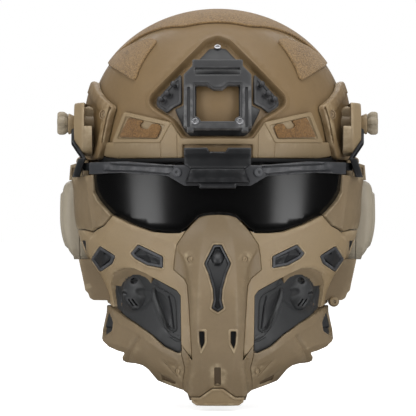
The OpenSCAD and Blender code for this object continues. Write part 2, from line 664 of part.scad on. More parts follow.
// Height, half width, depth and squareness of the mask's level sections
MASK = [[-6, mask_a + 2, 95, 2.0], [-20, mask_a, 94, 2.0], [-45, mask_a - 2, 97, 2.0],
    [-75, mask_a - 12, 106, 1.75], [-90, mask_a - 21, 110, 1.7], [-105, mask_a - 26, 114, 1.65],
    [-130, mask_a - 21, 116, 1.65], [-140, mask_a - 21, 116, 1.65], [-150, mask_a - 32, 115, 1.7],
    [-165, mask_a - 57, 112, 1.8], [-182, mask_a - 72, 108, 1.9]];
function mask_depth(x, z, off) =
    let (a = look_up(MASK, z, 1) + off, b = look_up(MASK, z, 2) + off, n = look_up(MASK, z, 3))
    -mask_y - b * (1 - min(1, abs(x) / a) ^ n) ^ (1 / n);
// The section at angle q from the front, running straight back past 90 degrees
mask = function (q, z, off)
    let (a = look_up(MASK, z, 1) + off, b = look_up(MASK, z, 2) + off, n = look_up(MASK, z, 3),
        s = min(90, abs(q)))
    [sign(q) * a * sin(s) ^ (2 / n), -mask_y - b * cos(s) ^ (2 / n) + max(0, abs(q) - 90), z];

// Nose ridge: height, half width and front of the flat, then half width and front of the bevel
RIDGE = [[-36, 5, -118, 10, -116], [-50, 9, -122, 22, -117], [-62, 12, -129, 29, -118],
    [-76, 13.5, -139, 23, -130], [-100, 14.5, -134 - ridge_out, 20.5, -142],
    [-135, 14.5, -135 - ridge_out, 20.5, -143], [-152, 12, -148, 20, -141],
    [-168, 10, -139, 22, -130], [-182, 9, -132, 20, -124]];
nose = function (c, z, off)
    let (k = abs(c), low = look_up(RIDGE, z, 3),
        x = k < 0.5 ? 0 : k < 1.5 ? look_up(RIDGE, z, 1) : k < 2.5 ? low : k < 3.5 ? low + 1.5 : 38,
        y = k < 1.5 ? look_up(RIDGE, z, 2) : k < 2.5 ? look_up(RIDGE, z, 4) : mask_depth(x, z, 0))
    [sign(c) * x, y - off, z];

CENTRE_SEAM = [[24, -51], [25.5, -53.5], [30.5, -61], [32, -69], [33, -80], [25, -86.5], [22.5, -91.5],
    [21, -113], [19.5, -137], [19, -147], [27, -136], [27, -143.5], [24.5, -153.5], [26, -164],
    [26, -171]];
CENTRE_TOP = [[0, -38.5], [8.5, -39], [14, -40.5], [19, -45.5]];
CHIN_TOP = [[20, -174.8], [13.5, -174.8], [4, -168], [0, -168]];
NOSE_INSERT = [[3, -61], [10, -75], [7, -82], [3.5, -94], [3, -102], [4.5, -108], [0, -111]];
SLOT = [[9.5, -125], [14, -125], [13.5, -134], [12, -138.5], [9.5, -134]];
// Inner edge of the deep rim that carries the ridge back to the cheeks, and the rim's depth
RIM_INNER = [[0, -88], [20, -88], [18.5, -95], [18, -113], [16.5, -137], [16, -148], [21, -155],
    [22, -166], [18, -172], [0, -164]];
rim_deep = 17;
module centre_outline() front_prism(inset(both_sides(concat(CENTRE_TOP, CENTRE_SEAM, CHIN_TOP)),
    seam / 2), to = -90);
module mask_centre() color(TAN) difference() {
    union() {
        intersection() {
            sheet(nose, [-4, 4], [-181, -37], 8, 18, -mask_t - 1, 0);
            centre_outline();
        }
        difference() {
            intersection() {
                sheet(nose, [-3, 3], [-176, -84], 6, 11, -rim_deep, -1);
                centre_outline();
            }
            front_prism(both_sides(RIM_INNER), to = -90);
        }
    }
    front_prism(both_sides(concat([[0, -61]], NOSE_INSERT)), to = -90);
    pair() front_prism(SLOT, to = -135 - ridge_out + slot_deep);
    intersection() {
        front_prism([[-2.5, -166], [2.5, -166], [2.5, -152], [-2.5, -152]], to = -90);
        sheet(nose, [-1, 1], [-170, -148], 2, 3, -slot_deep, 12);
    }
    pair() mask_screw_seat(MASK_FIX[0]);
}
slot_deep = 2.4;
// Spade-shaped insert in the nose, with a raised boss at its head
boss_z = -70;
boss_r = 6.5;
module nose_insert() color(BLACK) intersection() {
    union() {
        sheet(nose, [-2, 2], [-112, -60], 4, 8, -mask_t, 0.8);
        translate([0, nose(0, boss_z, 0)[1] + 2.5, boss_z]) difference() {
            sphere(r = boss_r, $fn = 32);
            translate([-boss_r, 0, -boss_r]) cube(2 * boss_r);
        }
    }
    front_prism(inset(both_sides(concat([[0, -61]], NOSE_INSERT)), seam), to = -100);
}
// Soft seal behind the lens's lower edge, against the inside of the cheeks
seal_x = [29.5, 84];
function lens_edge(z) = lens_r + lens_lean * (z - visor_top) / 54.5;
module lens_seal() color(BLACK) pair() intersection() {
    sheet(mask, [14, 56], [-58, -26], 10, 4, -mask_t - 4.5, -mask_t - 0.8);
    visor_round(lens_edge(visor_top) - lens_t - 0.8, lens_edge(-60) - lens_t - 0.8, -60, visor_top);
    difference() {
        front_prism(inset(lens_outline(), -4.5), to = -30);
        front_prism(inset(lens_outline(), 4), from = -180, to = -20);
    }
    translate([seal_x[0], -150, -60]) cube([seal_x[1] - seal_x[0], 130, 60]);
}
module chin_guard() color(TAN) intersection() {
    sheet(nose, [-3, 3], [-182, -166], 6, 3, -mask_t - 2, 2);
    front_prism(inset(both_sides([[0, -168], [4, -168], [13.5, -175], [20, -175], [19.5, -179],
        [16, -181.5], [0, -181.5]]), 0.2), to = -90);
}

// Cheek outline from the nose round under the lens, down the side and back along the pod
POD = [[82, -92], [79, -83], [71, -79.5], [63, -79.5], [55, -83], [31, -95.5], [28, -99.5],
    [27.5, -141.5], [31, -141.5], [41, -137], [50, -129], [63, -120.5], [71.5, -116], [79.5, -111]];
CHEEK = concat([[24, -50.4], [29, -52.4], [40, -52.4], [50, -51.4], [66, -45.9], [80.5, -38.9], [87.5, -47],
    [94, -50], [96.5, -52], [102.5, -50.5], [125, -50.5], [125, -60], [110, -66], [104, -71],
    [97.5, -76], [91.5, -83.5], [87, -91.5], [86, -102], [85.5, -107], [79.5, -110], POD[0], POD[1],
    POD[2], POD[3], POD[4], POD[5], POD[6], [27.5, -136], [19, -147]],
    [for (i = [8:-1:1]) CENTRE_SEAM[i]]);
VENTS = [[[90, -62.5], [77.5, -70], [80, -76], [90.5, -83], [97.5, -73]],
    [[60, -61], [41, -70], [41, -79], [53, -77], [62.5, -72], [66, -68]]];
SIDE_VENT = [[101.4, -58.7], [110, -58.7], [110, -70.2], [101.8, -70.2]];
side_vent_back = -30;
JAW_VENT = [[84, -112.5], [79.8, -121.3], [80.6, -127.5], [87.5, -132.5], [88.2, -129]];
module cheek(on) mirror_x(on) color(TAN) difference() {
    intersection() {
        sheet(mask, [10, 104], [-148, -36], 16, 14, -mask_t, 0);
        front_prism(inset(CHEEK, seam / 2), to = 0);
    }
    for (v = VENTS) front_prism(v, to = -24);
    front_prism(SIDE_VENT, to = side_vent_back);
    mask_screw_seat(MASK_FIX[1]);
}
module vents(on) mirror_x(on) color(BLACK) {
    for (v = VENTS) intersection() {
        sheet(mask, [15, 80], [-86, -58], 8, 3, -mask_t, 0.9);
        difference() {
            front_prism(inset(v, seam), to = -24);
            intersection() {
                front_prism(inset(v, 3), to = -24);
                sheet(mask, [15, 80], [-86, -58], 8, 3, -1.2, 6);
            }
        }
    }
    intersection() {
        sheet(mask, [50, 90], [-72, -54], 6, 2, -mask_t, -0.8);
        front_prism(inset(SIDE_VENT, seam), to = side_vent_back - seam);
    }
    intersection() {
        sheet(mask, [50, 90], [-138, -108], 6, 4, -mask_t, -0.8);
        front_prism(inset(JAW_VENT, seam), to = -24);
    }
}
TEMPLE = [[95.5, -8], [94.7, -21], [91, -28], [81.2, -38.6], [80.8, -39], [87.7, -46.6], [94.2, -49.5],
    [96.6, -51.5], [102.5, -50], [130, -50], [130, -10], [112.5, -10]];
// The mask hangs from the rails by a stepped hanger inside each temple arm
hanger_y = [-36, -14];
hanger_x = [shell_a + 0.5, shell_a + 5];
arm_top = -11;
module temple_arm(on) mirror_x(on) color(TAN) {
    intersection() {
        sheet(mask, [40, 102], [-52, -6], 10, 5, -mask_t, 0);
        front_prism(inset(TEMPLE, seam / 2), to = 0);
        translate([0, -150, -52]) cube([150, 142, 52 + arm_top]);
    }
    front_prism([[hanger_x[0], rail_low - seat], [hanger_x[0], arm_top - 13],
        [mask_a - mask_t / 2, arm_top - 13], [mask_a - mask_t / 2, arm_top - 4],
        [hanger_x[1], arm_top - 2], [hanger_x[1], rail_low - seat]],
        from = hanger_y[0], to = hanger_y[1]);
}
JAW = [[27, -142], [31, -142], [41, -137.5], [50, -129.5], [63, -121], [71.5, -116.5], [79.5, -111.5],
    [86, -108], [86, -114], [90, -127.5], [91, -137.5], [82, -143], [72, -144.5], [74.5, -149.5],
    [73.5, -153.5], [62, -153], [53, -156], [46.5, -165], [26, -171], [26, -164], [24.5, -153.5],
    [27, -143.5]];
// The jaw seen from the side: its lower edge climbs towards the ear
JAW_SIDE = [[-170, -100], [-10, -100], [-10, -136], [-24, -142], [-58, -145], [-64, -153],
    [-80, -156], [-92, -168], [-170, -176]];
module jaw(on) mirror_x(on) color(TAN) difference() {
    intersection() {
        sheet(mask, [8, 104], [-172, -107], 14, 9, -mask_t, 0);
        front_prism(inset(JAW, seam / 2), to = 0);
        side_prism(JAW_SIDE, 0, 120);
    }
    intersection() {
        front_prism([[43, -159.5], [31.5, -164.5], [32, -166.5], [42, -163.5]], to = -50);
        sheet(mask, [8, 60], [-170, -156], 6, 2, 1.2 - mask_t, 9);
    }
    front_prism(JAW_VENT, to = -24);
    mask_screw_seat(MASK_FIX[2]);
}
// Fan pod: a recessed cover with a round grille and a sunken side panel
FAN = [60, -97];
fan_turn = 32;
module at_fan(depth) {
    x = FAN[0];
    translate([x, mask_depth(x, FAN[1], -3), FAN[1]]) rotate([90, 0, fan_turn])
        translate([0, 0, depth]) children();
}
pod_in = -7.5;
pod_under = -mask_t - 1.2;
pod_lap = 3;
POD_PANEL = [[50, -93], [43.5, -95.5], [34, -102.5], [33.5, -124], [36, -124], [45, -110.5]];
module pod(on, $fn = 32) mirror_x(on) color(GREY) difference() {
    union() {
        intersection() {
            sheet(mask, [8, 84], [-146, -75], 12, 8, pod_in, pod_under);
            difference() {
                front_prism(inset(POD, -pod_lap), to = -24);
                front_prism([[0, -133], [28.5, -133], [28.5, -150], [0, -150]]);
            }
        }
        intersection() {
            sheet(mask, [8, 84], [-146, -75], 12, 8, pod_under - 1, -2);
            front_prism(inset(POD, 2 * seam), to = -24);
        }
        intersection() {
            at_fan(-6) cylinder(r1 = fan_r + 3, r2 = fan_r - 1, h = 10);
            front_prism(inset(POD, seam), to = -24);
        }
    }
    intersection() {
        front_prism(POD_PANEL);
        sheet(mask, [8, 80], [-143, -78], 12, 8, -4.5, 8);
    }
    difference() {
        at_fan(-12) cylinder(r = fan_r - 3, h = 30);
        at_fan(0) for (a = [0, 60, 120]) rotate(a) cube([2 * fan_r, 2.2, 8], center = true);
        at_fan(-4) cylinder(r = 5, h = 8);
    }
    at_fan(-40) cylinder(r = fan_r + 1.6, h = 33.5);
}
fan_seat = -7;
fan_t = 9;
module fan_frame(on) mirror_x(on) color(BLACK) at_fan(fan_seat - fan_t) difference() {
    union() {
        difference() {
            cylinder(r = fan_r + 1.2, h = fan_t);
            translate([0, 0, -1]) cylinder(r = fan_r + 0.4, h = fan_t + 2);
        }
        cylinder(r = 5, h = 1.5);
        for (a = [0:120:240]) rotate(a) translate([0, -1, 0]) cube([fan_r + 1, 2, 1.5]);
    }
    translate([0, 0, -1]) cylinder(r = 1.2 + fit_gap, h = 4);
}
module fan_rotor(on) mirror_x(on) color(GREY) at_fan(fan_seat - fan_t + 1.5 + seat) {
    cylinder(r = 5.5, h = fan_t - 3);
    translate([0, 0, -1.5]) cylinder(r = 1.2, h = 2);
    for (i = [0:blade_count - 1]) rotate(i * 360 / blade_count) translate([4.5, -0.6, 0.6])
        rotate([35, 0, 0]) cube([fan_r - 4.9, 1.2, 5]);
}
// Rear guards: channels under the ear cups, each with a bolt boss that faces forwards
GUARD = [[107, -73], [102.8, -92.5], [102, -97], [99.8, -99.2], [98.4, -103], [95.7, -104.6],
    [78, -104.9], [78, -102], [94, -101.6], [96, -98.5], [99, -96.5], [99.8, -92], [104, -73]];
GUARD_FACE = concat([for (i = [0:6]) GUARD[i]], [[78, -85], [90, -76], [98, -73]]);
guard_t = 3.5;
guard_front = -42;
bolt_x = 89.5;
bolt_z = -105.5;
module at_bolt(depth) translate([bolt_x, guard_front - depth, bolt_z]) rotate([90, 0, 0]) children();
module rear_guard(on) mirror_x(on) color(TAN) difference() {
    union() {
        intersection() {
            front_prism(GUARD, from = guard_front, to = 48);
            side_prism([[guard_front, -72], [-8, -72], [-8, -77.5], [34, -77.5], [46, -86],
                [36, -106], [guard_front, -106]], 70, 115);
        }
        front_prism(GUARD_FACE, from = guard_front, to = guard_front + guard_t);
        if (!on) at_bolt(-12) cylinder(r = 4.2, h = 12.5);
    }
    if (!on) at_bolt(-10) cylinder(r = screw_hole, h = 20);
    sheet(mask, [50, 150], [-112, -70], 8, 4, -30, 0.8);
}
// Small screws, each square to the face it sits in: on the ridge's bevel, on the cheek, on the jaw
function bevel_depth(x, z) = let (a = look_up(RIDGE, z, 1), b = look_up(RIDGE, z, 3))
    blend(look_up(RIDGE, z, 2), look_up(RIDGE, z, 4), (x - a) / (b - a));
function screw_depth(x, z) = z > -100 ? bevel_depth(x, z) : mask_depth(x, z, 0);
MASK_FIX = [[20.5, -72], [22.5, -134], [30, -156]];
module mask_screw_at(p) translate([p[0], screw_depth(p[0], p[1]), p[1]])
    rotate([90, 0, atan((screw_depth(p[0] + 1, p[1]) - screw_depth(p[0] - 1, p[1])) / 2)])
        translate([0, 0, -6]) children();
// A seat sunk in the panel for a screw, and the screw in it
module mask_screw_seat(p) mask_screw_at(p) {
    cylinder(r = screw_hole, h = 12, $fn = 24);
    translate([0, 0, 5.1]) cylinder(r = 2.4, h = 8, $fn = 24);
}
module mask_screws() color(TAN) {
    pair() for (p = MASK_FIX) mask_screw_at(p) {
        translate([0, 0, 5.15]) cylinder(r = 2.1, h = 0.8, $fn = 24);
        translate([0, 0, 2.5]) cylinder(r = 1.4, h = 3, $fn = 24);
    }
    at_bolt(0.55) cap_screw(3.2, 2.4, 1.5, 9);
}

// Ears

ear_x = shell_a + ear_out;
ear_top = -12;
ear_y = 24;
ear_z = ear_top - ear_h / 2;
EAR_SLICES = [[-26, 0], [-9, 0], [-3, 3], [0, 11]];
crown_r = 80;
crown_z = ear_z + 3;
module at_ear(x) translate([x, ear_y, ear_z]) rotate([90, 0, 90]) children();
module ear_cup(on) mirror_x(on) color(TAN) difference() {
    intersection() {
        hull() for (s = EAR_SLICES) at_ear(ear_x + s[0]) linear_extrude(0.1)
            offset(r = 16 - s[1], $fn = 32) square([ear_l - 32, ear_h - 32], center = true);
        union() {
            translate([ear_x - crown_r, 100, crown_z]) rotate([90, 0, 0])
                cylinder(r = crown_r, h = 200, $fn = 96);
            translate([0, -100, crown_z]) cube([ear_x + 1, 200, ear_h]);
        }
    }
    at_ear(ear_x - 1.2) difference() {
        cylinder(r = 14, h = 3);
        translate([0, 0, -1]) cylinder(r = 12.5, h = 5);
    }
    at_ear(ear_x - 30) cylinder(r = 19, h = 16);
}
module ear_cushion(on) mirror_x(on) color(FOAM) difference() {
    at_ear(ear_x - 40) linear_extrude(14 - seat)
        offset(r = 15) square([ear_l - 34, ear_h - 34], center = true);
    at_ear(ear_x - 41) cylinder(r = 19, h = 17);
}
module ear_arm(on) mirror_x(on) color(BLACK) difference() {
    union() {
        translate([pin_x, lug_y[0] + lug_w + seat, pin_z]) rotate([-90, 0, 0])
            cylinder(r = lug_r, h = lug_y[1] - lug_y[0] - 2 * lug_w - 2 * seat);
        translate([0, lug_y[1] - lug_w - seat, 0]) rotate([90, 0, 0])
            linear_extrude(lug_y[1] - lug_y[0] - 2 * lug_w - 2 * seat)
                polygon([[pin_x, pin_z + 3], [pin_x + 8, pin_z - 3], [pin_x + 9, ear_top + seat],
                    [pin_x - 2, ear_top + seat], [pin_x - 1, pin_z - 3]]);
    }
    translate([pin_x, 0, pin_z]) rotate([-90, 0, 0]) cylinder(r = pin_r + fit_gap, h = 60);
}

helmet_shell();
edge_trim();
brow_band();
rail(true);  // rail_left
rail(false);  // rail_right
rail_screws();
shroud_base();
shroud_frame();
shroud_screws();
lanyard_anchors();
crown_patch();
side_patches();
brow_patches();
pad_crown();
pad_front();
pad_rear();
side_pads();
headband();
dial_housing();
nape_pad();
dial_knob();
visor_lens();
visor_centre();
visor_bar(true);  // visor_bar_left
visor_bar(false);  // visor_bar_right
visor_arm(true);  // visor_arm_left
visor_arm(false);  // visor_arm_right
pivot_collar(true);  // pivot_collar_left
pivot_collar(false);  // pivot_collar_right
visor_screws();
thumb_knob(true);  // thumb_knob_left
thumb_knob(false);  // thumb_knob_right
mask_centre();
cheek(true);  // cheek_left
cheek(false);  // cheek_right
temple_arm(true);  // temple_arm_left
temple_arm(false);  // temple_arm_right
jaw(true);  // jaw_left
jaw(false);  // jaw_right
chin_guard();
nose_insert();
lens_seal();
vents(true);  // vents_left
vents(false);  // vents_right
pod(true);  // pod_left
pod(false);  // pod_right
fan_frame(true);  // fan_frame_left
fan_frame(false);  // fan_frame_right
fan_rotor(true);  // fan_rotor_left
fan_rotor(false);  // fan_rotor_right
rear_guard(true);  // rear_guard_left
rear_guard(false);  // rear_guard_right
mask_screws();
ear_arm(true);  // ear_arm_left
ear_arm(false);  // ear_arm_right
ear_cup(true);  // ear_cup_left
ear_cup(false);  // ear_cup_right
ear_cushion(true);  // ear_cushion_left
ear_cushion(false);  // ear_cushion_right
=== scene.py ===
import math

import bpy
import numpy as np
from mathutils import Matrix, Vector
from mathutils.geometry import delaunay_2d_cdt


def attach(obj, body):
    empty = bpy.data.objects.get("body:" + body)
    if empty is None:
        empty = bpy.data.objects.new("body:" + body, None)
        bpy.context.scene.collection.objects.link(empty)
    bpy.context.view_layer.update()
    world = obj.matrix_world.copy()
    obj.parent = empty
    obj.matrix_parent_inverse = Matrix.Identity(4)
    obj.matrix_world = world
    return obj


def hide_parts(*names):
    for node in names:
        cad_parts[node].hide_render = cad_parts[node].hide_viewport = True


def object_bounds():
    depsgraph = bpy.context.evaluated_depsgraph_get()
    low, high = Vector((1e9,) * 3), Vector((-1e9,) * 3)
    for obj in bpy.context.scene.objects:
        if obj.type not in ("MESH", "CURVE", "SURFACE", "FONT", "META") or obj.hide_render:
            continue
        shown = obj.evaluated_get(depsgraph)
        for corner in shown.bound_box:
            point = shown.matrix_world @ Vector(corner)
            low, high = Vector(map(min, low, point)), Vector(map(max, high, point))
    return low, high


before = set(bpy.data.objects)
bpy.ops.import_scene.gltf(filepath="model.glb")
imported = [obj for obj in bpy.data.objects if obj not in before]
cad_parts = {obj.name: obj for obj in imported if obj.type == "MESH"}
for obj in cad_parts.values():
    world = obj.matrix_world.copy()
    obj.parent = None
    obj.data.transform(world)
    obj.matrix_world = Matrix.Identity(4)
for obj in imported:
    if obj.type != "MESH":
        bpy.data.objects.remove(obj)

CAD_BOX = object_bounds()

# All sizes below are millimetres, in the CAD model's frame; meshes are written in metres
MM = 0.001
SHELL_HALF, SHELL_FRONT, SHELL_BACK = 99.0, 122.0, 130.0
SHELL_RISE, SHELL_LEVEL, SHELL_T, TUCK = 87.0, 33.0, 4.0, 0.06
RIM_FRONT, RIM_SIDE, RIM_BACK = 4.0, 28.0, -50.0
RECESS_DEPTH, PATCH_T, SEAT = 6.5, 1.5, 0.3
PIVOT_Y, PIVOT_Z, FLANGE_X, FLANGE_R = -45.0, 31.0, 110.0, 25.0
PLATE_T, CONE_LOW, CONE_TOP, CONE_SLOPE = 8.0, 27.0, 15.0, 1.5
LENS_R, LENS_Y, LENS_LEAN, LENS_T = 112.5, -12.0, 7.0, 2.2
BAR_R, BAR_T, BRACKET_T, ARM_T, ARM_X = 112.8, 4.2, 4.0, 2.0, FLANGE_X + SEAT
MASK_HALF, MASK_Y, MASK_T, RIDGE_OUT = 112.0, -20.0, 3.0, 16.0
SHROUD_T, SHROUD_LEAN, SHROUD_Y, SHROUD_Z = 4.5, 18.0, -128.3, 24.0
EAR_X, EAR_Y, EAR_TOP, EAR_H, EAR_L = 123.5, 24.0, -12.0, 62.0, 56.0
LINER_GAP, PAD_FILL = 14.0, 0.7
SEAM = 0.4


# Curves and surfaces

def mix(a, b, s):
    return a + (b - a) * s


def ease(low, high, d):
    s = np.clip((d - low) / (high - low), 0.0, 1.0)
    return s * s * (3 - 2 * s)


def look_up(table, z, column):
    """Smooth curve through one column of a table whose first column falls."""
    rows = np.array(table, float)[::-1]
    at, value = rows[:, 0], rows[:, column]
    slope = np.empty(len(at))
    slope[1:-1] = (value[2:] - value[:-2]) / (at[2:] - at[:-2])
    slope[0] = (value[1] - value[0]) / (at[1] - at[0])
    slope[-1] = (value[-1] - value[-2]) / (at[-1] - at[-2])
    z = np.clip(z, at[0], at[-1])
    i = np.clip(np.searchsorted(at, z, side="right") - 1, 0, len(at) - 2)
    h = at[i + 1] - at[i]
    s = (z - at[i]) / h
    return ((2 * s**3 - 3 * s**2 + 1) * value[i] + (s**3 - 2 * s**2 + s) * h * slope[i]
            + (3 * s**2 - 2 * s**3) * value[i + 1] + (s**3 - s**2) * h * slope[i + 1])


def taper(z, off=0.0):
    s = (z - SHELL_LEVEL) / (SHELL_RISE + off)
    return np.where(s > 0, np.sqrt(np.maximum(0, 1 - s**2)), 1 - TUCK * s**2)


def dome(u, z, off=0.0):
    """Shell surface at azimuth u, in radians from the front, and height z."""
    k = taper(z, off)
    reach = np.where(np.cos(u) > 0, SHELL_FRONT, SHELL_BACK) + off
    return np.stack([(SHELL_HALF + off) * k * np.sin(u), -reach * k * np.cos(u), z + 0 * u], -1)


# The shell is laid out flat as a disc: the crown is its centre and the rim its edge
LEVEL_ARC = 160.0


def disc_of(u, z):
    up = np.arcsin(np.clip((z - SHELL_LEVEL) / SHELL_RISE, 0, 1))
    r = np.where(z > SHELL_LEVEL, LEVEL_ARC * (1 - up / (math.pi / 2)), LEVEL_ARC + SHELL_LEVEL - z)
    return np.stack([r * np.sin(u), -r * np.cos(u)], -1)


def on_shell(p, off):
    r = np.hypot(p[:, 0], p[:, 1])
    u = np.arctan2(p[:, 0], -p[:, 1])
    up = np.maximum(0, 1 - r / LEVEL_ARC) * math.pi / 2
    above = r < LEVEL_ARC
    z = np.where(above, SHELL_LEVEL + (SHELL_RISE + off) * np.sin(up), SHELL_LEVEL + LEVEL_ARC - r)
    k = np.where(above, np.cos(up), 1 - TUCK * ((z - SHELL_LEVEL) / (SHELL_RISE + off))**2)
    reach = np.where(np.cos(u) > 0, SHELL_FRONT, SHELL_BACK) + off
    return np.stack([(SHELL_HALF + off) * k * np.sin(u), -reach * k * np.cos(u), z], -1)


def shell_front_view(points):
    """Front-view places x, z to the flat disc."""
    x, z = points[:, 0], points[:, 1]
    return disc_of(np.arcsin(np.clip(x / (SHELL_HALF * taper(z)), -1, 1)), z)


def shell_side_view(points):
    """Side-view places y, z on the right of the shell to the flat disc."""
    y, z = points[:, 0], points[:, 1]
    reach = np.where(y < 0, SHELL_FRONT, SHELL_BACK) * taper(z)
    return disc_of(np.arccos(np.clip(-y / reach, -1, 1)), z)


def shell_plan_view(points):
    """Places x, y seen from above to the flat disc."""
    x, y = points[:, 0] / SHELL_HALF, points[:, 1] / np.where(points[:, 1] < 0, SHELL_FRONT, SHELL_BACK)
    r = LEVEL_ARC * (1 - np.arccos(np.clip(np.hypot(x, y), 0, 1)) / (math.pi / 2))
    u = np.arctan2(x, -y)
    return np.stack([r * np.sin(u), -r * np.cos(u)], -1)


RIM = [[180, RIM_BACK], [150, RIM_BACK + 3], [128, RIM_BACK + 26], [108, RIM_SIDE - 3], [84, RIM_SIDE],
       [66, RIM_FRONT + 4], [50, RIM_FRONT], [0, RIM_FRONT]]


def rim_z(u):
    return look_up(RIM, np.degrees(np.abs(u)), 1)


# Level sections of the mask: height, half width, depth and squareness
MASK = [[-6, MASK_HALF + 2, 95, 2.0], [-20, MASK_HALF, 94, 2.0], [-45, MASK_HALF - 2, 97, 2.0],
        [-75, MASK_HALF - 12, 106, 1.75], [-90, MASK_HALF - 21, 110, 1.7],
        [-105, MASK_HALF - 26, 114, 1.65], [-130, MASK_HALF - 21, 116, 1.65],
        [-140, MASK_HALF - 21, 116, 1.65], [-150, MASK_HALF - 32, 115, 1.7],
        [-165, MASK_HALF - 57, 112, 1.8], [-182, MASK_HALF - 72, 108, 1.9]]
# Length of the flat mask from its middle to its widest place; past it, it runs back this far
QUARTER, RUN_BACK = 162.0, 14


def on_mask(p, off):
    """The mask laid out flat: across from the middle, then height."""
    turn = np.abs(p[:, 0]) / QUARTER * math.pi / 2
    q = np.minimum(math.pi / 2, turn)
    back = np.clip(np.abs(p[:, 0]) - QUARTER, 0, RUN_BACK)
    z = p[:, 1]
    a = look_up(MASK, z, 1) + off
    b = look_up(MASK, z, 2) + off
    n = look_up(MASK, z, 3)
    x = np.sign(p[:, 0]) * a * np.sin(q)**(2 / n)
    return np.stack([x, MASK_Y - b * np.maximum(0, np.cos(q))**(2 / n) + back, z], -1)


def mask_front_view(points):
    """Front-view places x, z to the flat mask; past the mask's width they run straight back."""
    x, z = np.abs(points[:, 0]), points[:, 1]
    a, n = look_up(MASK, z, 1), look_up(MASK, z, 3)
    s = np.arcsin(np.clip(x / a, 0, 1)**(n / 2)) / (math.pi / 2) * QUARTER
    return np.stack([np.sign(points[:, 0]) * (s + np.clip(x - a, 0, RUN_BACK)), z], -1)


def mask_depth(x, z, off=0.0):
    a = look_up(MASK, z, 1) + off
    b = look_up(MASK, z, 2) + off
    n = look_up(MASK, z, 3)
    return MASK_Y - b * (1 - np.minimum(1, np.abs(x) / a)**n)**(1 / n)


# Nose ridge: height, half width and front of the flat, then half width and front of the bevel
RIDGE = [[-36, 5, -118, 10, -116], [-50, 9, -122, 22, -117], [-62, 12, -129, 29, -118],
         [-76, 13.5, -139, 23, -130], [-100, 14.5, -134 - RIDGE_OUT, 20.5, -142],
         [-135, 14.5, -135 - RIDGE_OUT, 20.5, -143], [-152, 12, -148, 20, -141],
         [-168, 10, -139, 22, -130], [-182, 9, -132, 20, -124]]
WALL = 1.5


def ridge_sharp(x, z):
    """Depth of the ridge: its flat, its bevel, a short wall and the mask beside it."""
    flat, low = look_up(RIDGE, z, 1), look_up(RIDGE, z, 3)
    front, bevel = look_up(RIDGE, z, 2), look_up(RIDGE, z, 4)
    wall = mask_depth(low + WALL, z)
    x = np.abs(x)
    y = np.where(x < flat, front, mix(front, bevel, (x - flat) / (low - flat)))
    y = np.where(x > low, mix(bevel, wall, (x - low) / WALL), y)
    return np.where(x > low + WALL, mask_depth(x, z), y)


def on_ridge(p, off):
    x, z = p[:, 0], p[:, 1]
    spread = np.linspace(-1.1, 1.1, 7)
    y = sum(ridge_sharp(x + d, z) for d in spread) / len(spread)
    return np.stack([x, y - off, z], -1)


def lens_radius(z):
    top, tall = 0.5, 54.5
    return LENS_R - LENS_LEAN * (top - z) / tall


# The lens and the bars are laid out flat as seen on a cylinder of this radius
WRAP = 100


def wrapped(p, r):
    turn = p[:, 0] / WRAP
    return np.stack([r * np.sin(turn), LENS_Y - r * np.cos(turn), p[:, 1]], -1)


def on_lens(p, off):
    return wrapped(p, lens_radius(p[:, 1]) + off)


def on_bar(p, off):
    return wrapped(p, BAR_R + off)


def bar_front_view(points, radius=BAR_R + BAR_T):
    return np.stack([WRAP * np.arcsin(np.clip(points[:, 0] / radius, -1, 1)), points[:, 1]], -1)


def lens_front_view(points):
    return bar_front_view(points, lens_radius(points[:, 1]))


def plane(origin, across, up):
    """A flat surface through origin; off goes along across x up."""
    origin, across, up = (np.array(v, float) for v in (origin, across, up))
    out = np.cross(across, up)

    def place(p, off):
        off = np.broadcast_to(off, len(p))
        return origin + p[:, :1] * across + p[:, 1:] * up + off[:, None] * out
    return place


def side_plane(x):
    """Side view on the right: y, z, with off outwards along +X."""
    return plane((x, 0, 0), (0, 1, 0), (0, 0, 1))


def front_plane(y):
    """Front view: x, z, with off towards the front."""
    return plane((0, y, 0), (1, 0, 0), (0, 0, 1))


TILT = math.radians(90 - SHROUD_LEAN)
SHROUD_OUT = (0, -math.sin(TILT), math.cos(TILT))
on_shroud = plane((0, SHROUD_Y, SHROUD_Z), (1, 0, 0), (0, math.cos(TILT), math.sin(TILT)))


def shroud_at(shape, x, up, off):
    """Stands a shape on the shroud's plane, or below it where off is negative."""
    return turned_to(shape, on_shroud(np.array([[x, up]]), off)[0], SHROUD_OUT)


# Outlines

def box_of(wide, tall):
    return [[-wide, -tall], [wide, -tall], [wide, tall], [-wide, tall]]


def flip(points):
    return [[-x, z] for x, z in reversed(points)]


def both_sides(points):
    """The right half of a symmetric outline, closed by its own mirror image."""
    return points + [p for p in flip(points) if p[0] < 0]


def circle(x, z, r, n=32):
    return [[x + r * math.cos(math.tau * i / n), z + r * math.sin(math.tau * i / n)] for i in range(n)]


def arc(x, z, r, start, end, step):
    """Places on an arc, with its angles in degrees."""
    return [[x + r * math.cos(t), z + r * math.sin(t)] for t in np.radians(np.arange(start, end, step))]


def ellipse(x, z, wide, tall, skew=0.0, n=28):
    return [[x + wide * c, z + tall * s + skew * c] for c, s in circle(0, 0, 1, n)]


def rounded(points, radius):
    """An outline whose corners are cut by short curves."""
    p = np.array(points, float)
    out = []
    for i in range(len(p)):
        a, b, c = p[i - 1], p[i], p[(i + 1) % len(p)]
        la, lc = np.linalg.norm(a - b), np.linalg.norm(c - b)
        cut = min(radius, 0.45 * la, 0.45 * lc)
        start, end = b + (a - b) / la * cut, b + (c - b) / lc * cut
        for s in (0, 0.25, 0.5, 0.75, 1):
            out.append((1 - s)**2 * start + 2 * s * (1 - s) * b + s**2 * end)
    return np.array(out)


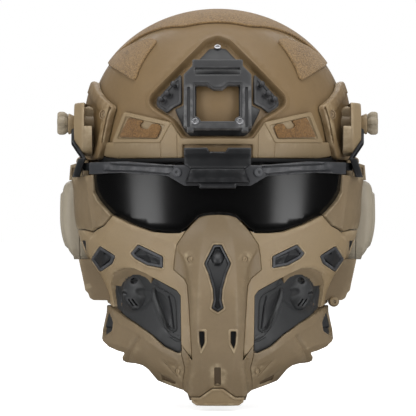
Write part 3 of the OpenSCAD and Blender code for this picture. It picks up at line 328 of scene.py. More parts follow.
def dense(points, step, closed=True):
    p = np.array(points, float)
    ends = list(zip(p, np.roll(p, -1, axis=0))) if closed else list(zip(p[:-1], p[1:]))
    out = []
    for a, b in ends:
        n = max(1, int(math.ceil(np.linalg.norm(b - a) / step)))
        out += [mix(a, b, i / n) for i in range(n)]
    if not closed:
        out.append(p[-1])
    out = np.array(out)
    keep = np.linalg.norm(out - np.roll(out, 1, axis=0), axis=1) > 1e-4
    return out[keep]


def inset(points, d):
    """An outline moved inwards by d, or outwards where d is negative."""
    p = np.array(points, float)
    q = np.roll(p, -1, axis=0)
    area = np.sum(p[:, 0] * q[:, 1] - q[:, 0] * p[:, 1])
    a = p - np.roll(p, 1, axis=0)
    a /= np.linalg.norm(a, axis=1)[:, None]
    b = np.roll(a, -1, axis=0)
    side = np.stack([-a[:, 1] - b[:, 1], a[:, 0] + b[:, 0]], -1)
    return p + math.copysign(d, area * d) * side / (1 + np.sum(a * b, axis=1))[:, None]


def inside(p, loop):
    x, y = p[:, 0][:, None], p[:, 1][:, None]
    a, b = loop, np.roll(loop, -1, axis=0)
    crosses = (a[:, 1] > y) != (b[:, 1] > y)
    with np.errstate(divide="ignore", invalid="ignore"):
        at = a[:, 0] + (y - a[:, 1]) * (b[:, 0] - a[:, 0]) / (b[:, 1] - a[:, 1])
    return np.count_nonzero(crosses & (x < at), axis=1) % 2 == 1


def distance(p, line, closed=True):
    """Least distance from each 3-D point to a polyline."""
    a = line if closed else line[:-1]
    b = np.roll(line, -1, axis=0) if closed else line[1:]
    ab = b - a
    length = np.maximum(1e-12, np.sum(ab * ab, axis=1))
    out = np.empty(len(p))
    for i in range(0, len(p), 1500):
        ap = p[i:i + 1500, None] - a
        s = np.clip(np.sum(ap * ab, axis=2) / length, 0, 1)
        out[i:i + 1500] = np.sqrt(np.min(np.sum((ap - s[..., None] * ab)**2, axis=2), axis=1))
    return out


def curve(points, radius, step, moved=0.0):
    """An outline moved in by some millimetres, its corners rounded, as close points."""
    return dense(rounded(inset(points, moved) if moved else points, radius), step)


def seen_on_shell(points, radius, step, moved=0.0):
    """A front-view outline as curve() makes it, laid on the flat disc."""
    return shell_front_view(curve(points, radius, step, moved))


# Plates: an outline on a surface, given thickness, round edges and raised or sunken detail

class Mark:
    """A line or closed loop on a plate; height is added by shape(d), d in mm, positive inside."""

    def __init__(self, points, shape, rows=(-0.4, 0, 0.4), closed=True):
        self.points, self.shape, self.rows, self.closed = points, shape, rows, closed


def rows_along(loop, place, distances, closed):
    ahead, behind = np.roll(loop, -1, axis=0), np.roll(loop, 1, axis=0)
    if not closed:
        ahead[-1], behind[0] = loop[-1], loop[0]
    along = ahead - behind
    normal = np.stack([-along[:, 1], along[:, 0]], -1)
    normal /= np.maximum(1e-9, np.linalg.norm(normal, axis=1))[:, None]
    area = np.sum(loop[:, 0] * ahead[:, 1] - ahead[:, 0] * loop[:, 1])
    if closed and area < 0:
        normal = -normal
    scale = np.linalg.norm(place(loop + normal * 0.1, 0.0) - place(loop, 0.0), axis=1) / 0.1
    solid = place(loop, 0.0)
    out = []
    for d in distances:
        row = loop + normal * (d / np.maximum(0.2, scale))[:, None]
        clear = distance(place(row, 0.0), solid, closed) > 0.8 * abs(d) - 1e-6
        out.append(row[clear])
    return out


def signed(p, solid, mark, place):
    d = distance(solid, place(mark.points, 0.0), mark.closed)
    return np.where(inside(p, mark.points), d, -d) if mark.closed else d


def laid_out(place, loops, edge, step, marks):
    """Triangles between an outline and its holes, with rows of points along every edge and mark."""
    outline = loops[0]
    steps = [edge * s for s in (0.12, 0.4, 1.0)]
    points, lines = [], []
    for loop in loops:
        first = sum(len(x) for x in points)
        lines += [(first + i, first + (i + 1) % len(loop)) for i in range(len(loop))]
        points.append(loop)
    for i, loop in enumerate(loops):
        points += rows_along(loop, place, [s if i == 0 else -s for s in steps], True)
    for mark in marks:
        points += rows_along(mark.points, place, mark.rows, mark.closed)
    lo, hi = outline.min(0), outline.max(0)
    across = np.arange(lo[0], hi[0] + step, step)
    up = np.arange(lo[1], hi[1] + step, step * 0.866)
    grid = np.array([[x + (j % 2) * step / 2, z] for j, z in enumerate(up) for x in across])
    fixed = np.concatenate(points)
    near = np.array([np.min(np.sum((fixed - g)**2, axis=1)) for g in grid])
    points.append(grid[near > (0.45 * step)**2])
    every = np.concatenate(points)
    made = delaunay_2d_cdt([Vector(v) for v in every], lines, [], 0, 1e-5)
    p = np.array([v[:] for v in made[0]])
    faces = np.array(made[2])
    middle = p[faces].mean(1)
    keep = inside(middle, outline)
    for hole in loops[1:]:
        keep &= ~inside(middle, hole)
    faces = faces[keep]
    used = np.unique(faces)
    renumber = np.full(len(p), -1)
    renumber[used] = np.arange(len(used))
    return p[used], renumber[faces]


def plate(place, outline, thick, low=0.0, edge=0.8, step=3.0, holes=(), marks=(), rise=None, floor=None):
    """Top, walls and underside of a plate. rise(p) replaces thick; floor(p, marks' d) replaces low."""
    loops = [outline] + list(holes)
    p, faces = laid_out(place, loops, edge, step, marks)
    base = place(p, 0.0)
    d = np.min([distance(base, place(loop, 0.0)) for loop in loops], axis=0)
    height = (np.full(len(p), float(thick)) if rise is None else rise(p))
    lost = edge - np.sqrt(np.maximum(0, edge**2 - np.maximum(0, edge - d)**2))
    depths = [signed(p, base, mark, place) for mark in marks]
    for mark, depth in zip(marks, depths):
        height = height + mark.shape(depth)
    top = place(p, height - lost)
    under = place(p, np.full(len(p), float(low)) if floor is None else floor(p, depths))

    a, b, c = (top[faces[0, i]] for i in range(3))
    if np.dot(np.cross(b - a, c - a), (place(p[:1], 1.0) - place(p[:1], 0.0))[0]) < 0:
        faces = faces[:, ::-1]
    n = len(p)
    sides = np.concatenate([faces[:, [0, 1]], faces[:, [1, 2]], faces[:, [2, 0]]])
    seen = {tuple(e) for e in sides}
    walls = [(b, a, a + n, b + n) for a, b in seen if (b, a) not in seen]
    return np.concatenate([top, under]), [tuple(f) for f in faces] + [
        tuple(v + n for v in f[::-1]) for f in faces] + walls


def flat(place, outline, thick, edge=0.6, step=4.0, holes=(), marks=(), rise=None, spacing=1.5):
    """A plate on a plane, from plain outlines."""
    loops = [dense(h, spacing) for h in holes]
    return plate(place, dense(outline, spacing), thick, 0.0, edge, step, loops, marks, rise)


def level(loop, height, start=0.0, end=0.4, rows=None):
    """A loop inside which a plate rises or sinks by height, between two distances from the loop."""
    return Mark(loop, lambda d: height * ease(start, end, d), rows or (start, (start + end) / 2, end))


def plain(line, *rows, closed=True):
    """A line that only keeps the plate's points beside it."""
    return Mark(line, lambda d: 0 * d, rows, closed)


def both_ways(rows):
    return [-d for d in reversed(rows)] + [0] + list(rows)


def groove(line, height, near, far, *rows):
    """An open line along which a plate rises or sinks by height."""
    rows = both_ways(rows or (far / 2, far))
    return Mark(line, lambda d: height * (1 - ease(near, far, d)), rows, False)


def fold(line, height, wide, *rows):
    """An open line along which two faces of a plate meet like a roof."""
    rows = both_ways(rows or (wide / 2, wide))
    return Mark(line, lambda d: height * np.maximum(0, 1 - d / wide), rows, False)


AXIS = 0.01


def spun(profile, n=32, sector=None):
    """A solid of revolution whose two ends run level to the axis."""
    return turned([(AXIS, profile[0][1]), *profile, (AXIS, profile[-1][1])], n, sector)


def turned(profile, n=48, sector=None):
    """A shape of revolution about +Z from r, z points that run from its top down; both ends are capped."""
    rings = []
    for r, z in profile:
        for i in range(n):
            t = math.tau * i / n
            wide = r if sector is None else sector(r, z, t)
            rings.append((wide * math.cos(t), wide * math.sin(t), z))
    faces = [(j * n + i, j * n + (i + 1) % n, (j + 1) * n + (i + 1) % n, (j + 1) * n + i)
             for j in range(len(profile) - 1) for i in range(n)]
    return np.array(rings), faces + [tuple(range(n))[::-1],
                                     tuple((len(profile) - 1) * n + i for i in range(n))]


def swept(sections, closed=True):
    """Skins a list of equal rings of points; closed joins the last ring to the first."""
    count, n = len(sections), len(sections[0])
    faces = []
    for j in range(count if closed else count - 1):
        k = (j + 1) % count
        faces += [(j * n + i, k * n + i, k * n + (i + 1) % n, j * n + (i + 1) % n) for i in range(n)]
    if not closed:
        faces += [tuple(range(n)), tuple((count - 1) * n + i for i in range(n))[::-1]]
    return np.concatenate(sections), faces


def joined(*shapes):
    points, faces, first = [], [], 0
    for p, f in shapes:
        points.append(p)
        faces += [tuple(v + first for v in face) for face in f]
        first += len(p)
    return np.concatenate(points), faces


def turned_to(shape, origin, out, up=(0, 0, 1)):
    """Stands a +Z shape at origin so that +Z points along out."""
    z = np.array(out, float) / np.linalg.norm(out)
    x = np.cross(up, z)
    x = x / np.linalg.norm(x) if np.linalg.norm(x) > 1e-6 else np.array([1.0, 0, 0])
    points, faces = shape
    return np.array(origin) + points @ np.array([x, np.cross(z, x), z]), faces


def mirrored(shape):
    points, faces = shape
    return points * [-1, 1, 1], [f[::-1] for f in faces]


def with_mirror(shape):
    return joined(shape, mirrored(shape))


def piece(name, shape, material, body="helmet", slot=None, node=None, sharp=38):
    points, faces = shape
    mesh = bpy.data.meshes.new(name)
    mesh.from_pydata((points * MM).tolist(), [], [list(map(int, f)) for f in faces])
    mesh.validate()
    mesh.shade_smooth()
    mesh.set_sharp_from_angle(angle=math.radians(sharp))
    mesh.materials.append(material)
    made = bpy.data.objects.new(name, mesh)
    bpy.context.scene.collection.objects.link(made)
    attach(made, body)
    if node:
        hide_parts(*([node] if isinstance(node, str) else node))
    return made


def pair(name, shape, material, body="helmet", node=None, **rest):
    """The same piece on both sides; body and node names get the side's name where they differ."""
    made = []
    for side, part in (("right", shape), ("left", mirrored(shape))):
        made.append(piece(f"{name}_{side}", part, material, body.format(side=side),
                          node=node and node.format(side=side), **rest))
    return made


# Materials

def nodes_of(name, slot):
    made = bpy.data.materials.new(name)
    made.use_nodes = True
    made["slot"] = slot
    tree = made.node_tree
    shader = tree.nodes["Principled BSDF"]
    place = tree.nodes.new("ShaderNodeTexCoord").outputs["Object"]
    return made, tree, shader, place


def feed(tree, node, inputs):
    """Gives a node's inputs values, or links where the value is another node's output."""
    for key, value in inputs.items():
        if isinstance(value, bpy.types.NodeSocket):
            tree.links.new(value, node.inputs[key])
        else:
            node.inputs[key].default_value = value


def add(tree, kind, inputs=None, **settings):
    made = tree.nodes.new("ShaderNode" + kind)
    for key, value in settings.items():
        setattr(made, key, value)
    feed(tree, made, inputs or {})
    return made


def noise(tree, place, scale, detail=3.0, rough=0.55):
    return add(tree, "TexNoise", {"Vector": place, "Scale": scale, "Detail": detail,
                                  "Roughness": rough}).outputs["Fac"]


def mapped(tree, value, low, high, to_low, to_high):
    return add(tree, "MapRange", {"Value": value, "From Min": low, "From Max": high,
                                  "To Min": to_low, "To Max": to_high}).outputs["Result"]


def tinted(tree, factor, a, b):
    a, b = (v if isinstance(v, bpy.types.NodeSocket) else (*v, 1) for v in (a, b))
    return add(tree, "Mix", {"Factor": factor, 6: a, 7: b}, data_type="RGBA").outputs[2]


def bumped(tree, height, strength, depth):
    inputs = {"Height": height, "Strength": strength, "Distance": depth * MM}
    return add(tree, "Bump", inputs).outputs["Normal"]


def grain(tree, place, scale, low, high, *rest):
    """Noise stretched to run from low to high over its middle part."""
    return mapped(tree, noise(tree, place, scale, *rest), 0.3, 0.7, low, high)


def linear(r, g, b):
    """A picture colour of 0 to 255 as the shader's linear colour."""
    return tuple((v / 255 / 12.92 if v / 255 <= 0.04045 else ((v / 255 + 0.055) / 1.055)**2.4)
                 for v in (r, g, b))


def moulded(name, slot, colour, worn, rough=0.5, mottle=0.5):
    """Injection-moulded polymer: fine grain, soft mottling, and paler rubbed edges."""
    made, tree, shader, place = nodes_of(name, slot)
    colour, worn = linear(*colour), linear(*worn)
    broad = mapped(tree, noise(tree, place, 28, 4), 0.35, 0.7, 0, mottle)
    fine = grain(tree, place, 420, 0, 0.35 * mottle, 2)
    base = tinted(tree, broad, colour, tuple(0.82 * c for c in colour))
    base = tinted(tree, fine, base, tuple(min(1, 1.2 * c) for c in colour))
    rub = add(tree, "NewGeometry").outputs["Pointiness"]
    rubbed = mapped(tree, rub, 0.515, 0.56, 0, 0.75)
    spots = mapped(tree, noise(tree, place, 160, 3), 0.4, 0.62, 0.15, 1)
    both = add(tree, "Math", {0: rubbed, 1: spots}, operation="MULTIPLY").outputs[0]
    feed(tree, shader, {"Base Color": tinted(tree, both, base, worn),
                        "Roughness": grain(tree, place, 90, rough - 0.07, rough + 0.09),
                        "Normal": bumped(tree, noise(tree, place, 2200, 2, 0.6), 0.5, 0.05)})
    return made


def loop_cloth(name, slot, colour, dark):
    """Brushed loop fabric: small tangled loops over a knitted ground."""
    made, tree, shader, place = nodes_of(name, slot)
    colour, dark = linear(*colour), linear(*dark)
    warp = add(tree, "TexNoise", {"Vector": place, "Scale": 260, "Detail": 2}).outputs["Color"]
    shifted = add(tree, "VectorMath", {0: warp, "Scale": 0.004}, operation="SCALE").outputs[0]
    moved = add(tree, "VectorMath", {0: place, 1: shifted}, operation="ADD").outputs[0]
    loops = add(tree, "TexVoronoi", {"Vector": moved, "Scale": 750}).outputs["Distance"]
    broad = grain(tree, place, 45, 0, 0.6, 4)
    base = tinted(tree, mapped(tree, loops, 0.1, 0.75, 0, 1), colour, dark)
    feed(tree, shader, {"Base Color": tinted(tree, broad, base, tuple(0.8 * c for c in colour)),
                        "Roughness": 0.95, "Sheen Weight": 0.1, "Sheen Roughness": 0.6,
                        "Normal": bumped(tree, loops, 0.8, 0.5)})
    return made


def foam_cloth(name, slot, colour):
    """Woven cloth over foam."""
    made, tree, shader, place = nodes_of(name, slot)
    colour = linear(*colour)
    weave = [add(tree, "TexWave", {"Vector": place, "Scale": 420, "Distortion": 1.5, "Detail": 1},
                 wave_type="BANDS", bands_direction=axis).outputs["Fac"] for axis in ("X", "Y", "Z")]
    half = add(tree, "Math", {0: weave[0], 1: weave[1]}, operation="MAXIMUM").outputs[0]
    height = add(tree, "Math", {0: half, 1: weave[2]}, operation="MAXIMUM").outputs[0]
    base = tinted(tree, height, tuple(0.6 * c for c in colour), tuple(1.5 * c for c in colour))
    feed(tree, shader, {"Base Color": tinted(tree, grain(tree, place, 30, 0, 0.4), base, colour),
                        "Roughness": 0.9, "Sheen Weight": 0.25, "Normal": bumped(tree, height, 0.6, 0.3)})
    return made


def smoke(name, slot):
    """Dark smoked polycarbonate with faint wiping haze."""
    made, tree, shader, place = nodes_of(name, slot)
    haze = mapped(tree, noise(tree, place, 24, 4), 0.4, 0.75, 0, 1)
    colour = tinted(tree, haze, (0.0015, 0.0015, 0.0016), (0.002, 0.002, 0.0022))
    feed(tree, shader, {"Base Color": colour, "Roughness": mapped(tree, haze, 0, 1, 0.24, 0.27),
                        "Specular IOR Level": 0.45})
    return made


def steel(name, slot):
    made, tree, shader, place = nodes_of(name, slot)
    streak = noise(tree, place, 700, 2)
    feed(tree, shader, {"Metallic": 1.0,
                        "Base Color": tinted(tree, streak, linear(150, 150, 152), linear(205, 205, 208)),
                        "Roughness": mapped(tree, streak, 0.3, 0.7, 0.28, 0.45),
                        "Normal": bumped(tree, streak, 0.25, 0.03)})
    return made


TAN = moulded("tan_polymer", "tan_plastic", (136, 117, 88), (172, 155, 128))
# Darker, browner copy of the tan polymer for the shell, rail covers and rail bolts: painted shade, drawn as
# if the shell takes less light than the cheeks
SHELL_TAN_SHADED = moulded("shell_polymer_painted_shade", "tan_plastic", (119, 97, 66), (160, 141, 112))
# Darker copy of the tan polymer: painted shade on the nose ridge, temples, jaw, rear guards, ear arms and the
# hollow over the pod
TAN_SHADED_COPY = moulded("tan_polymer_painted_shade", "tan_plastic", (118, 101, 76), (160, 144, 116))
LOOP = loop_cloth("loop_fabric", "loop_fabric", (148, 119, 78), (92, 70, 42))
GOLD_LOOP = loop_cloth("brow_loop_fabric", "loop_fabric", (132, 97, 52), (84, 58, 28))
BLACK = moulded("black_polymer", "black_frame", (26, 27, 29), (70, 70, 72), 0.42, 0.3)
DARK = moulded("dark_polymer", "dark_plastic", (52, 52, 54), (92, 92, 92), 0.5, 0.4)
GREY = moulded("grey_polymer", "grey_plastic", (58, 59, 62), (96, 96, 98), 0.55, 0.4)
RUBBER = moulded("edge_rubber", "edge_rubber", (30, 30, 31), (60, 60, 60), 0.7, 0.4)
JET = moulded("jet_polymer", "black_frame", (24, 25, 27), (64, 64, 66), 0.4, 0.3)
BAR = moulded("bar_polymer", "black_frame", (50, 51, 54), (92, 92, 94), 0.45, 0.3)
PLATE = moulded("shroud_plate", "black_frame", (56, 56, 57), (108, 108, 108), 0.4, 0.3)
POD_GREY = moulded("pod_polymer", "dark_plastic", (46, 47, 48), (88, 89, 90), 0.5, 0.4)
CUP = moulded("cup_polymer", "tan_plastic", (146, 137, 120), (176, 166, 148))
KNOB = moulded("knob_polymer", "tan_plastic", (140, 129, 110), (168, 158, 140))
LENS = smoke("smoke_lens", "smoke_lens")
FOAM = foam_cloth("foam_cloth", "foam_pads", (46, 46, 48))
STEEL = steel("screw_steel", "steel_screws")
DARK_STEEL = moulded("dark_steel", "steel_screws", (66, 67, 70), (104, 104, 106), 0.4, 0.3)
VENT_BLACK = moulded("vent_polymer", "dark_plastic", (38, 39, 41), (60, 60, 62), 0.5, 0.3)
SHADE_TAN = moulded("shaded_tan", "tan_plastic", (92, 76, 56), (110, 92, 70))


# Screws and other small shapes

def screw(radius, height, socket=0.55):
    """A round head with a six-sided socket."""
    r = radius
    hexed = [(r * socket, height * 0.35), (r * socket, height * 0.92), (r * (socket + 0.07), height)]

    def sector(wide, z, t):
        if wide > r * (socket + 0.1) or z < height * 0.3:
            return wide
        return wide * math.cos(math.pi / 6) / math.cos((t % (math.pi / 3)) - math.pi / 6)
    rim = [(r * 0.86, height), (r * 0.96, height * 0.93), (r, height * 0.78), (r, 0)]
    return spun(hexed + rim, 48, sector)


# Shell, trim and what lies on it

RECESS = [[0, 97], [9, 94], [50, 52], [52, 47], [50, 42], [34, 32], [25, 19], [0, 19]]


def shell():
    turns = np.linspace(0, math.tau, 240, endpoint=False) - math.pi
    outline = disc_of(turns, rim_z(turns))
    lip = seen_on_shell(both_sides(RECESS), 3, 1.4)
    sunk = Mark(lip, lambda d: -RECESS_DEPTH * ease(-0.1, 1.1, d) + 0.7 * ease(-2.6, -1.6, d) * (d < 0.2),
                (-2.6, -2.1, -1.6, -0.3, 0.1, 0.5, 0.8, 1.1, 1.5))

    def floor(p, depths):
        return -SHELL_T - (RECESS_DEPTH - 1) * ease(-3.5, -2.0, depths[0])
    return plate(on_shell, outline, 0.0, edge=1.2, step=5, marks=[sunk], floor=floor)


def edge_trim():
    sections = []
    for u in np.radians(np.arange(-180, 180, 2.0)):
        turn = abs(math.degrees(u))
        lip = 5 * ease(98, 112, turn)
        skirt = 3.8 * ease(50, 60, turn) * ease(90, 78, turn)
        z = float(rim_z(u))
        shape = [(0.15, lip), (0.8, lip), (1.1, lip - 0.6 if lip > 0.6 else 0.0), (1.1, -1.8 - skirt),
                 (0.6, -2.8 - skirt), (-0.6, -3.2 - skirt), (-3.6, -3.2 - skirt), (-4.8, -2.6), (-5.2, -1.6),
                 (-5.2, -0.2), (-4.2, -0.2), (0.15, -0.2)]
        sections.append(np.array([dome(np.array(u), np.array(z + dz), off) for off, dz in shape]))
    return swept(sections)


BROW = [[0, 14], [26, 14], [26, RIM_FRONT], [76, RIM_FRONT], [86, 6], [88, 16.5], [78, 16.5], [69, 39],
        [34.7, 30.8], [26.5, 18.5], [0, 18.5]]
BROW_FRAME = [[69, 39], [34, 30.5], [42, 15.5], [78, 16]]
BROW_PATCH = [[65.5, 34.8], [54, 32], [57, 29], [55.5, 26.5], [51, 25.5], [48, 30], [43, 29.5], [41, 27],
              [44, 19], [72.5, 20]]
BROW_T = 3.5


def brow_band():
    """A low band with a raised frame at each corner; below the frames it leans back to the rim."""
    outline = seen_on_shell(both_sides(BROW), 1.2, 1.5)
    marks = []
    for frame_side in (BROW_FRAME, flip(BROW_FRAME)):
        edge = seen_on_shell(frame_side, 1.2, 1.2, 0.3)
        pocket = seen_on_shell(frame_side, 1.5, 1.2, 2.6)
        marks += [level(edge, 1.0, -0.7, 0), level(pocket, -PATCH_T, 0, 0.7, (-0.1, 0.35, 0.8))]
    for x, top in ((-42, 14.5), (-29.6, 21), (42, 14.5), (29.6, 21)):
        line = shell_front_view(dense([[x, 4.5], [x, top]], 1.2, False))
        marks.append(groove(line, -0.5, 0.2, 0.7, 0.3, 0.7))

    def rise(p):
        z = on_shell(p, 0.0)[:, 2]
        return BROW_T - 1.0 - 0.13 * np.clip(15 - z, 0, 12)
    return plate(on_shell, outline, BROW_T, 0.2, edge=0.8, step=4, marks=marks, rise=rise)


def fabric(outline, low, edge=0.7, step=3.0):
    return plate(on_shell, outline, low + PATCH_T, low, edge=edge, step=step)


CROWN_PATCH = [[0, -63], [25, -63], [38, -52], [60, -35], [76, -25], [84, -12], [84, 10], [62, 24], [0, 28]]
SIDE_PATCH = [[68, 91], [52, 96], [45, 94], [53, 83], [59, 72], [62, 62], [83, 76], [85, 80]]

RAIL_SIDE = [[-27, 63], [-78, 43], [-67, 16], [-57, 3.5], [58, 3.5], [90, 20], [94, 46], [46, 63]]
RAIL_T = 6.0
RAIL_SCREW, RAIL_SINK, SEAT_SIZE = (82.3, 37.5), 1.2, (1.5, 3.1)


def rail_cover():
    outline = shell_side_view(curve(RAIL_SIDE, 4, 2.0))
    field = level(shell_side_view(curve(RAIL_SIDE, 5, 2.0, 8)), -0.9, 0, 0.9, (0, 0.3, 0.6, 0.9))
    slit = shell_side_view(dense([[-74.8, 41.5], [-65.2, 17]], 1.2, False))
    slit = groove(slit, -3.2, 0.6, 1.1, 0.6, 0.85, 1.1)
    seat = level(shell_front_view(np.array(ellipse(*RAIL_SCREW, *SEAT_SIZE))), -RAIL_SINK, 0, 0.5)
    return plate(on_shell, outline, RAIL_T, 1.0, edge=1.6, step=5, marks=[field, slit, seat])


def flange():
    """The plate that carries the pivot, sloped like a cone in front and below, and the block under it."""
    tail = [[24, -21], [38, -6]]
    nose = arc(0, 0, FLANGE_R, 140, 271, 5)

    def at_pivot(points):
        return [[PIVOT_Y + y, PIVOT_Z + z] for y, z in points]

    def rise(p):
        y, z = p[:, 0] - PIVOT_Y, p[:, 1] - PIVOT_Z
        r = np.where(y < 0, np.hypot(y, z), np.maximum(0, -z))
        return np.clip((CONE_LOW - r) / CONE_SLOPE, 1.0, PLATE_T)
    boss = level(dense(circle(PIVOT_Y, PIVOT_Z, 9), 1.2), 0.25, 0, 0.4, (0, 0.4))
    crest = plain(dense(circle(PIVOT_Y, PIVOT_Z, CONE_TOP, 72), 1.2), -0.8, 0, 0.8)
    top = flat(side_plane(FLANGE_X - PLATE_T), at_pivot(nose + tail + [[38, 6], [29, 16]]), PLATE_T, edge=1.2,
               step=3, marks=[boss, crest], rise=rise)
    front = [[90, 38], [98, 45], [104.5, 43], [104.5, 12], [101, 7.5], [90, 8], [93, 24]]
    fairing = flat(front_plane(-44), rounded(front, 3), 6.5, 2.2, 3)
    low = [[-24.8, -2]] + [p for p in nose if p[1] < -2] + tail + [[38, -2]]
    block = flat(side_plane(FLANGE_X - 14), at_pivot(low), 6.4, edge=1.0, step=4)
    stem = spun([(8, 9), (8, 0)])
    return joined(top, block, fairing, turned_to(stem, (FLANGE_X - 16, PIVOT_Y, PIVOT_Z), (1, 0, 0)))


def build_shell():
    piece("shell_skin", shell(), SHELL_TAN_SHADED, node="helmet_shell")
    piece("rim_trim", edge_trim(), RUBBER, node="edge_trim")
    piece("brow_plate", brow_band(), TAN, node="brow_band")
    crown = curve(both_sides(CROWN_PATCH), 5, 2)
    piece("crown_loop", fabric(shell_plan_view(crown), 0.3), LOOP, node="crown_patch")
    side = fabric(seen_on_shell(SIDE_PATCH, 4, 1.5), 0.3)
    piece("side_loops", with_mirror(side), LOOP, node="side_patches")
    brow = fabric(seen_on_shell(BROW_PATCH, 1.5, 1.2), BROW_T - PATCH_T + 0.1, 0.5)
    piece("brow_loops", with_mirror(brow), GOLD_LOOP, node="brow_patches")
    pair("rail_cover", rail_cover(), SHELL_TAN_SHADED, node="rail_{side}")
    pair("rail_flange", flange(), TAN)


# Shroud

def dome_seat(x, z, off):
    """A place on the dome at front-view x, z, and the direction out of it."""
    u = math.asin(x / (SHELL_HALF * float(taper(z))))
    at = dome(np.array(u), np.array(float(z)), off)
    out = np.array([at[0] / SHELL_HALF**2, at[1] / SHELL_FRONT**2, (z - SHELL_LEVEL) / SHELL_RISE**2])
    return at, out / np.linalg.norm(out)


SHROUD_BASE = [[0, 91], [6.5, 90.5], [16, 80], [24, 70], [27, 60], [27, 44], [34, 41], [32, 36], [26, 24],
               [22, 20.5], [0, 20.5]]
WINDOW = [[-17, 29], [17, 29], [17, 60], [-17, 60]]
SHROUD_FRAME = [[0, 2], [18, 2], [18, 0], [23, 0], [23, 3], [25.5, 4], [25.5, 45], [19, 52], [19, 57],
                [0, 57]]
LUG_X, LUG_UP, LUG_R = 16.8, 7.6, 4.2
LUG_ARC = arc(LUG_X, LUG_UP, LUG_R, 174, 86, -12)
FRAME_WINDOW = flip(LUG_ARC) + LUG_ARC + [[17, 37], [8, 37], [3.5, 33.5], [-3.5, 33.5], [-8, 37], [-17, 37]]
FRAME_SLOT = [[-17, 45], [17, 45], [17, 50.5], [-17, 50.5]]
ANCHOR = [[29, 69], [34, 64.5], [47.5, 49.5], [48.5, 46], [47.5, 43], [40, 38], [35.5, 42], [28.5, 45.5],
          [28.5, 60]]
STUDS = [[42.5, 47], [38, 51], [33, 57.5]]


def shroud_base():
    """The plate that follows the recess, and the four posts under the frame."""
    outline = seen_on_shell(both_sides(SHROUD_BASE), 1.2, 1.2)
    hole = seen_on_shell(WINDOW, 2, 1.2)
    ring = level(seen_on_shell(WINDOW, 3, 1.2, -2.2), 0.5, -0.5, 0)
    base = plate(on_shell, outline, 1.6 - RECESS_DEPTH, SEAT - RECESS_DEPTH, 0.5, 2.5, [hole], [ring])
    posts = [shroud_at(spun([(3.6, 0), (4, -0.5), (4, -length)]), x, up, -4.6)
             for x in (-20.5, 20.5) for up, length in ((9, 12.3), (40, 9.5))]
    return joined(base, *posts)


def shroud_frame():
    """The notched frame that stands off the recess."""
    slits = [[[x - 1.1, 3], [x + 1.1, 3], [x + 1.1, 35], [x - 1.1, 35]] for x in (-21.8, 21.8)]
    marks = [level(curve(s, 0.8, 0.9), -1.2, -0.1, 0.3) for s in slits]
    marks.append(level(curve(FRAME_WINDOW, 1, 1.0, -1.6), -0.5, -0.1, 0.4))
    marks += [level(dense(circle(x, LUG_UP, 3.1), 0.8), -1.3) for x in (-LUG_X, LUG_X)]
    holes = [curve(h, 0.8, 1.0) for h in (FRAME_WINDOW, FRAME_SLOT)]
    return plate(on_shroud, curve(both_sides(SHROUD_FRAME), 0.8, 1.0), 0.0, -SHROUD_T, 0.6, 2.0, holes, marks)


def shroud_screws():
    at, up = dome_seat(0, 88, 1.9 - RECESS_DEPTH)
    heads = [shroud_at(screw(2.8, 1.1, 0.6), x, LUG_UP, -1.25) for x in (-LUG_X, LUG_X)]
    return joined(*heads, turned_to(screw(2.6, 1.3), at, up, (0, 1, 0)))


def lanyard_anchor():
    """A side plate in the recess with three round studs."""
    sunk = level(seen_on_shell(ANCHOR, 1, 1.0, 2), -0.6, 0, 0.5)
    rim = seen_on_shell(ANCHOR, 1.5, 1.0)
    parts = [plate(on_shell, rim, 2.5 - RECESS_DEPTH, SEAT - RECESS_DEPTH, 0.5, 2.0, marks=[sunk])]
    ball = [(x, z) for z, x in arc(5.5, AXIS, 2.4, 0, 140, 12)]
    stud = turned(ball + [(1.5, 3.4), (1.5, 1.2), (2.6, 0.6), (2.6, 0), (AXIS, 0)], 32)
    parts += [turned_to(stud, *dome_seat(x, z, 1.6 - RECESS_DEPTH)) for x, z in STUDS]
    return joined(*parts)


def rail_screw():
    """A screw head and the collar of its seat, turned to the front."""
    at, up = dome_seat(*RAIL_SCREW, RAIL_T - RAIL_SINK + 0.1)
    front = 0.5 * up + np.array([0, -0.9, 0.1])
    collar = turned([(2.9, 0.2), (3.2, 1.1), (3.9, 1.1), (4.3, 0.6), (4.5, -1.5)], 40)
    return joined(turned_to(screw(2.7, 1.0, 0.45), at, front), turned_to(collar, at, front))


def build_shroud():
    piece("shroud_base_plate", shroud_base(), BLACK, node="shroud_base")
    piece("shroud_frame_plate", shroud_frame(), PLATE, node="shroud_frame")
    piece("shroud_bolts", shroud_screws(), STEEL, node="shroud_screws")
    piece("lanyard_anchor_plates", with_mirror(lanyard_anchor()), DARK, node="lanyard_anchors")
    piece("rail_bolts", with_mirror(rail_screw()), SHELL_TAN_SHADED, node="rail_screws")


# Visor

VISOR_BAR = [[0.3, -1.5], [35, -1.5], [70, 1.5], [98, 1], [98, -8], [75, -7], [38, -9.5], [25, -17],
             [0.3, -17]]
LENS_EDGE = [[0, -11], [27, -11], [31, -0.5], [95, -0.5], [95, -9], [94, -21], [90, -28], [81, -38],
             [66, -45], [50, -50.5], [40, -51.5], [29, -51.5], [24, -49], [19, -44],
             [14, -39], [8, -37.5], [0, -37]]
BRACKET = [[0, -19], [14, -19], [14, -16], [24.5, -16], [24.5, -13], [20.5, -4], [25.5, -1.5], [25.5, 11.5],
           [8, 11.5], [6, 8.5], [0, 8.5]]


def on_bracket(p, off):
    return on_bar(p, BAR_T + 0.1 + off)


def visor_bar():
    outline = bar_front_view(curve(VISOR_BAR, 1, 1.4))
    lines = ([[34, -2.9], [80, -0.6]], [[37, -8.2], [60, -6.2], [86.5, -5.2]])
    marks = [groove(bar_front_view(dense(line, 1.2, False)), -1.3, 0.35, 0.7) for line in lines]
    marks.append(plain(bar_front_view(dense([[36, -1.5], [27, -9], [24, -17]], 1.2, False)), 0, closed=False))
    return plate(on_bar, outline, BAR_T, 0.0, 0.7, 3, marks=marks)


